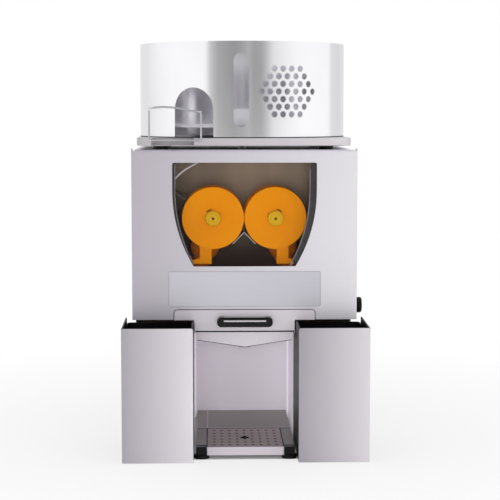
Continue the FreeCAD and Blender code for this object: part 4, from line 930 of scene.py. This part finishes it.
blend = floor_finish.tree.nodes.new("ShaderNodeMixShader")
beside_it = floor_finish.along("X").away_from(0) > FOOT_SIDE
before_it = floor_finish.along("Y") < FOOT_FRONT
behind_it = floor_finish.along("Y") > FOOT_BACK
in_the_open = floor_finish.clipped(beside_it + before_it + behind_it, 0, 1) * 0.85 + 0.15
bare = floor_finish.clipped(from_centre, 0.25, 1.1) * 0.28 + 0.72
floor_finish.join(blend.inputs[0], (looked_at > 0.5) * bare * in_the_open)
floor_finish.tree.links.new(floor_finish.shader.outputs[0], blend.inputs[1])
floor_finish.tree.links.new(white.outputs[0], blend.inputs[2])
floor_finish.tree.links.new(blend.outputs[0], floor_finish.tree.nodes["Material Output"].inputs[0])
floor_mesh.materials.append(floor_finish.material)

# The room is white to the camera. Polished pieces mirror a studio with darker parts.
world = bpy.data.worlds.new("studio")
scene.world = world
world.use_nodes = True
sky = Finish("sky", world.node_tree)
path = world.node_tree.nodes.new("ShaderNodeLightPath")
seen = Value(sky, path.outputs["Is Camera Ray"])
glossy = Value(sky, path.outputs["Is Glossy Ray"])
through = Value(sky, path.outputs["Is Transmission Ray"])
parts = world.node_tree.nodes.new("ShaderNodeSeparateXYZ")
sky.join(parts.inputs[0], sky.add("ShaderNodeTexCoord"))
bearing = sky.math("ARCTAN2", Value(sky, parts.outputs[0]), 0.0 - Value(sky, parts.outputs[1]))
# Bearing in degrees from the front, and how bright the studio is there.
STUDIO = (
    (-180, 0.85), (-134, 0.78), (-110, 0.92), (-83, 1.0), (-42, 1.0), (-37, 0.6), (-28, 0.4), (-19, 0.36),
    (-10, 0.32), (-1, 0.37), (6, 0.46), (12, 0.36), (20, 0.38), (26, 0.53), (33, 0.78), (42, 0.86),
    (56, 0.95), (70, 1.0), (112, 1.0), (118, 0.78), (139, 0.72), (180, 0.85),
)
stops = [(0.5 + angle / 360, (level, level, level, 1)) for angle, level in STUDIO]
studio = sky.add("ShaderNodeValToRGB", {"stops": stops}, {0: bearing / (2 * math.pi) + 0.5})
AMBIENT = 0.46
backdrop = world.node_tree.nodes["Background"]
mirrored = sky.between(glossy, (AMBIENT, AMBIENT, AMBIENT, 1), studio)
sky.join(backdrop.inputs["Color"], sky.between(seen + through > 0.5, mirrored, (1, 1, 1, 1)))


def aimed(name, data, at, aim):
    holder = bpy.data.objects.new(name, data)
    scene.collection.objects.link(holder)
    holder.location = at
    holder.rotation_euler = (Vector(aim) - holder.location).to_track_quat("-Z", "Y").to_euler()
    return holder


def lamp(name, at, aim, size, power):
    light = bpy.data.lights.new(name, "AREA")
    light.shape = "SQUARE"
    light.size = size
    light.energy = power
    aimed(name, light, at, aim).visible_glossy = False


MIDDLE = (0, 0, 0.4)
lamp("front_soft", (-0.1, -3.4, 0.5), (0, 0, 0.3), 0.9, 31)
lamp("key_right", (2.0, -2.2, 1.5), MIDDLE, 1.4, 9)
lamp("fill_left", (-2.0, -2.2, 1.1), MIDDLE, 1.6, 5)
lamp("top_soft", (0, 0.3, 2.6), MIDDLE, 1.8, 14)

# A narrow beam into the recess between the buckets.
beam = bpy.data.lights.new("recess_beam", "SPOT")
beam.energy = 6
beam.spot_size = math.radians(13)
beam.spot_blend = 0.35
beam.shadow_soft_size = 0.05
aimed("recess_beam", beam, (0, -1.3, 0.16), (0, 0, 0.1)).visible_glossy = False

camera = bpy.data.cameras.new("camera")
camera.sensor_width = 36
camera.lens = 104.4
eye = aimed("camera", camera, (-0.068, -3.010, 0.668), (0.0075, -0.31, 0.4065))
scene.camera = eye
scene.view_settings.view_transform = "Standard"
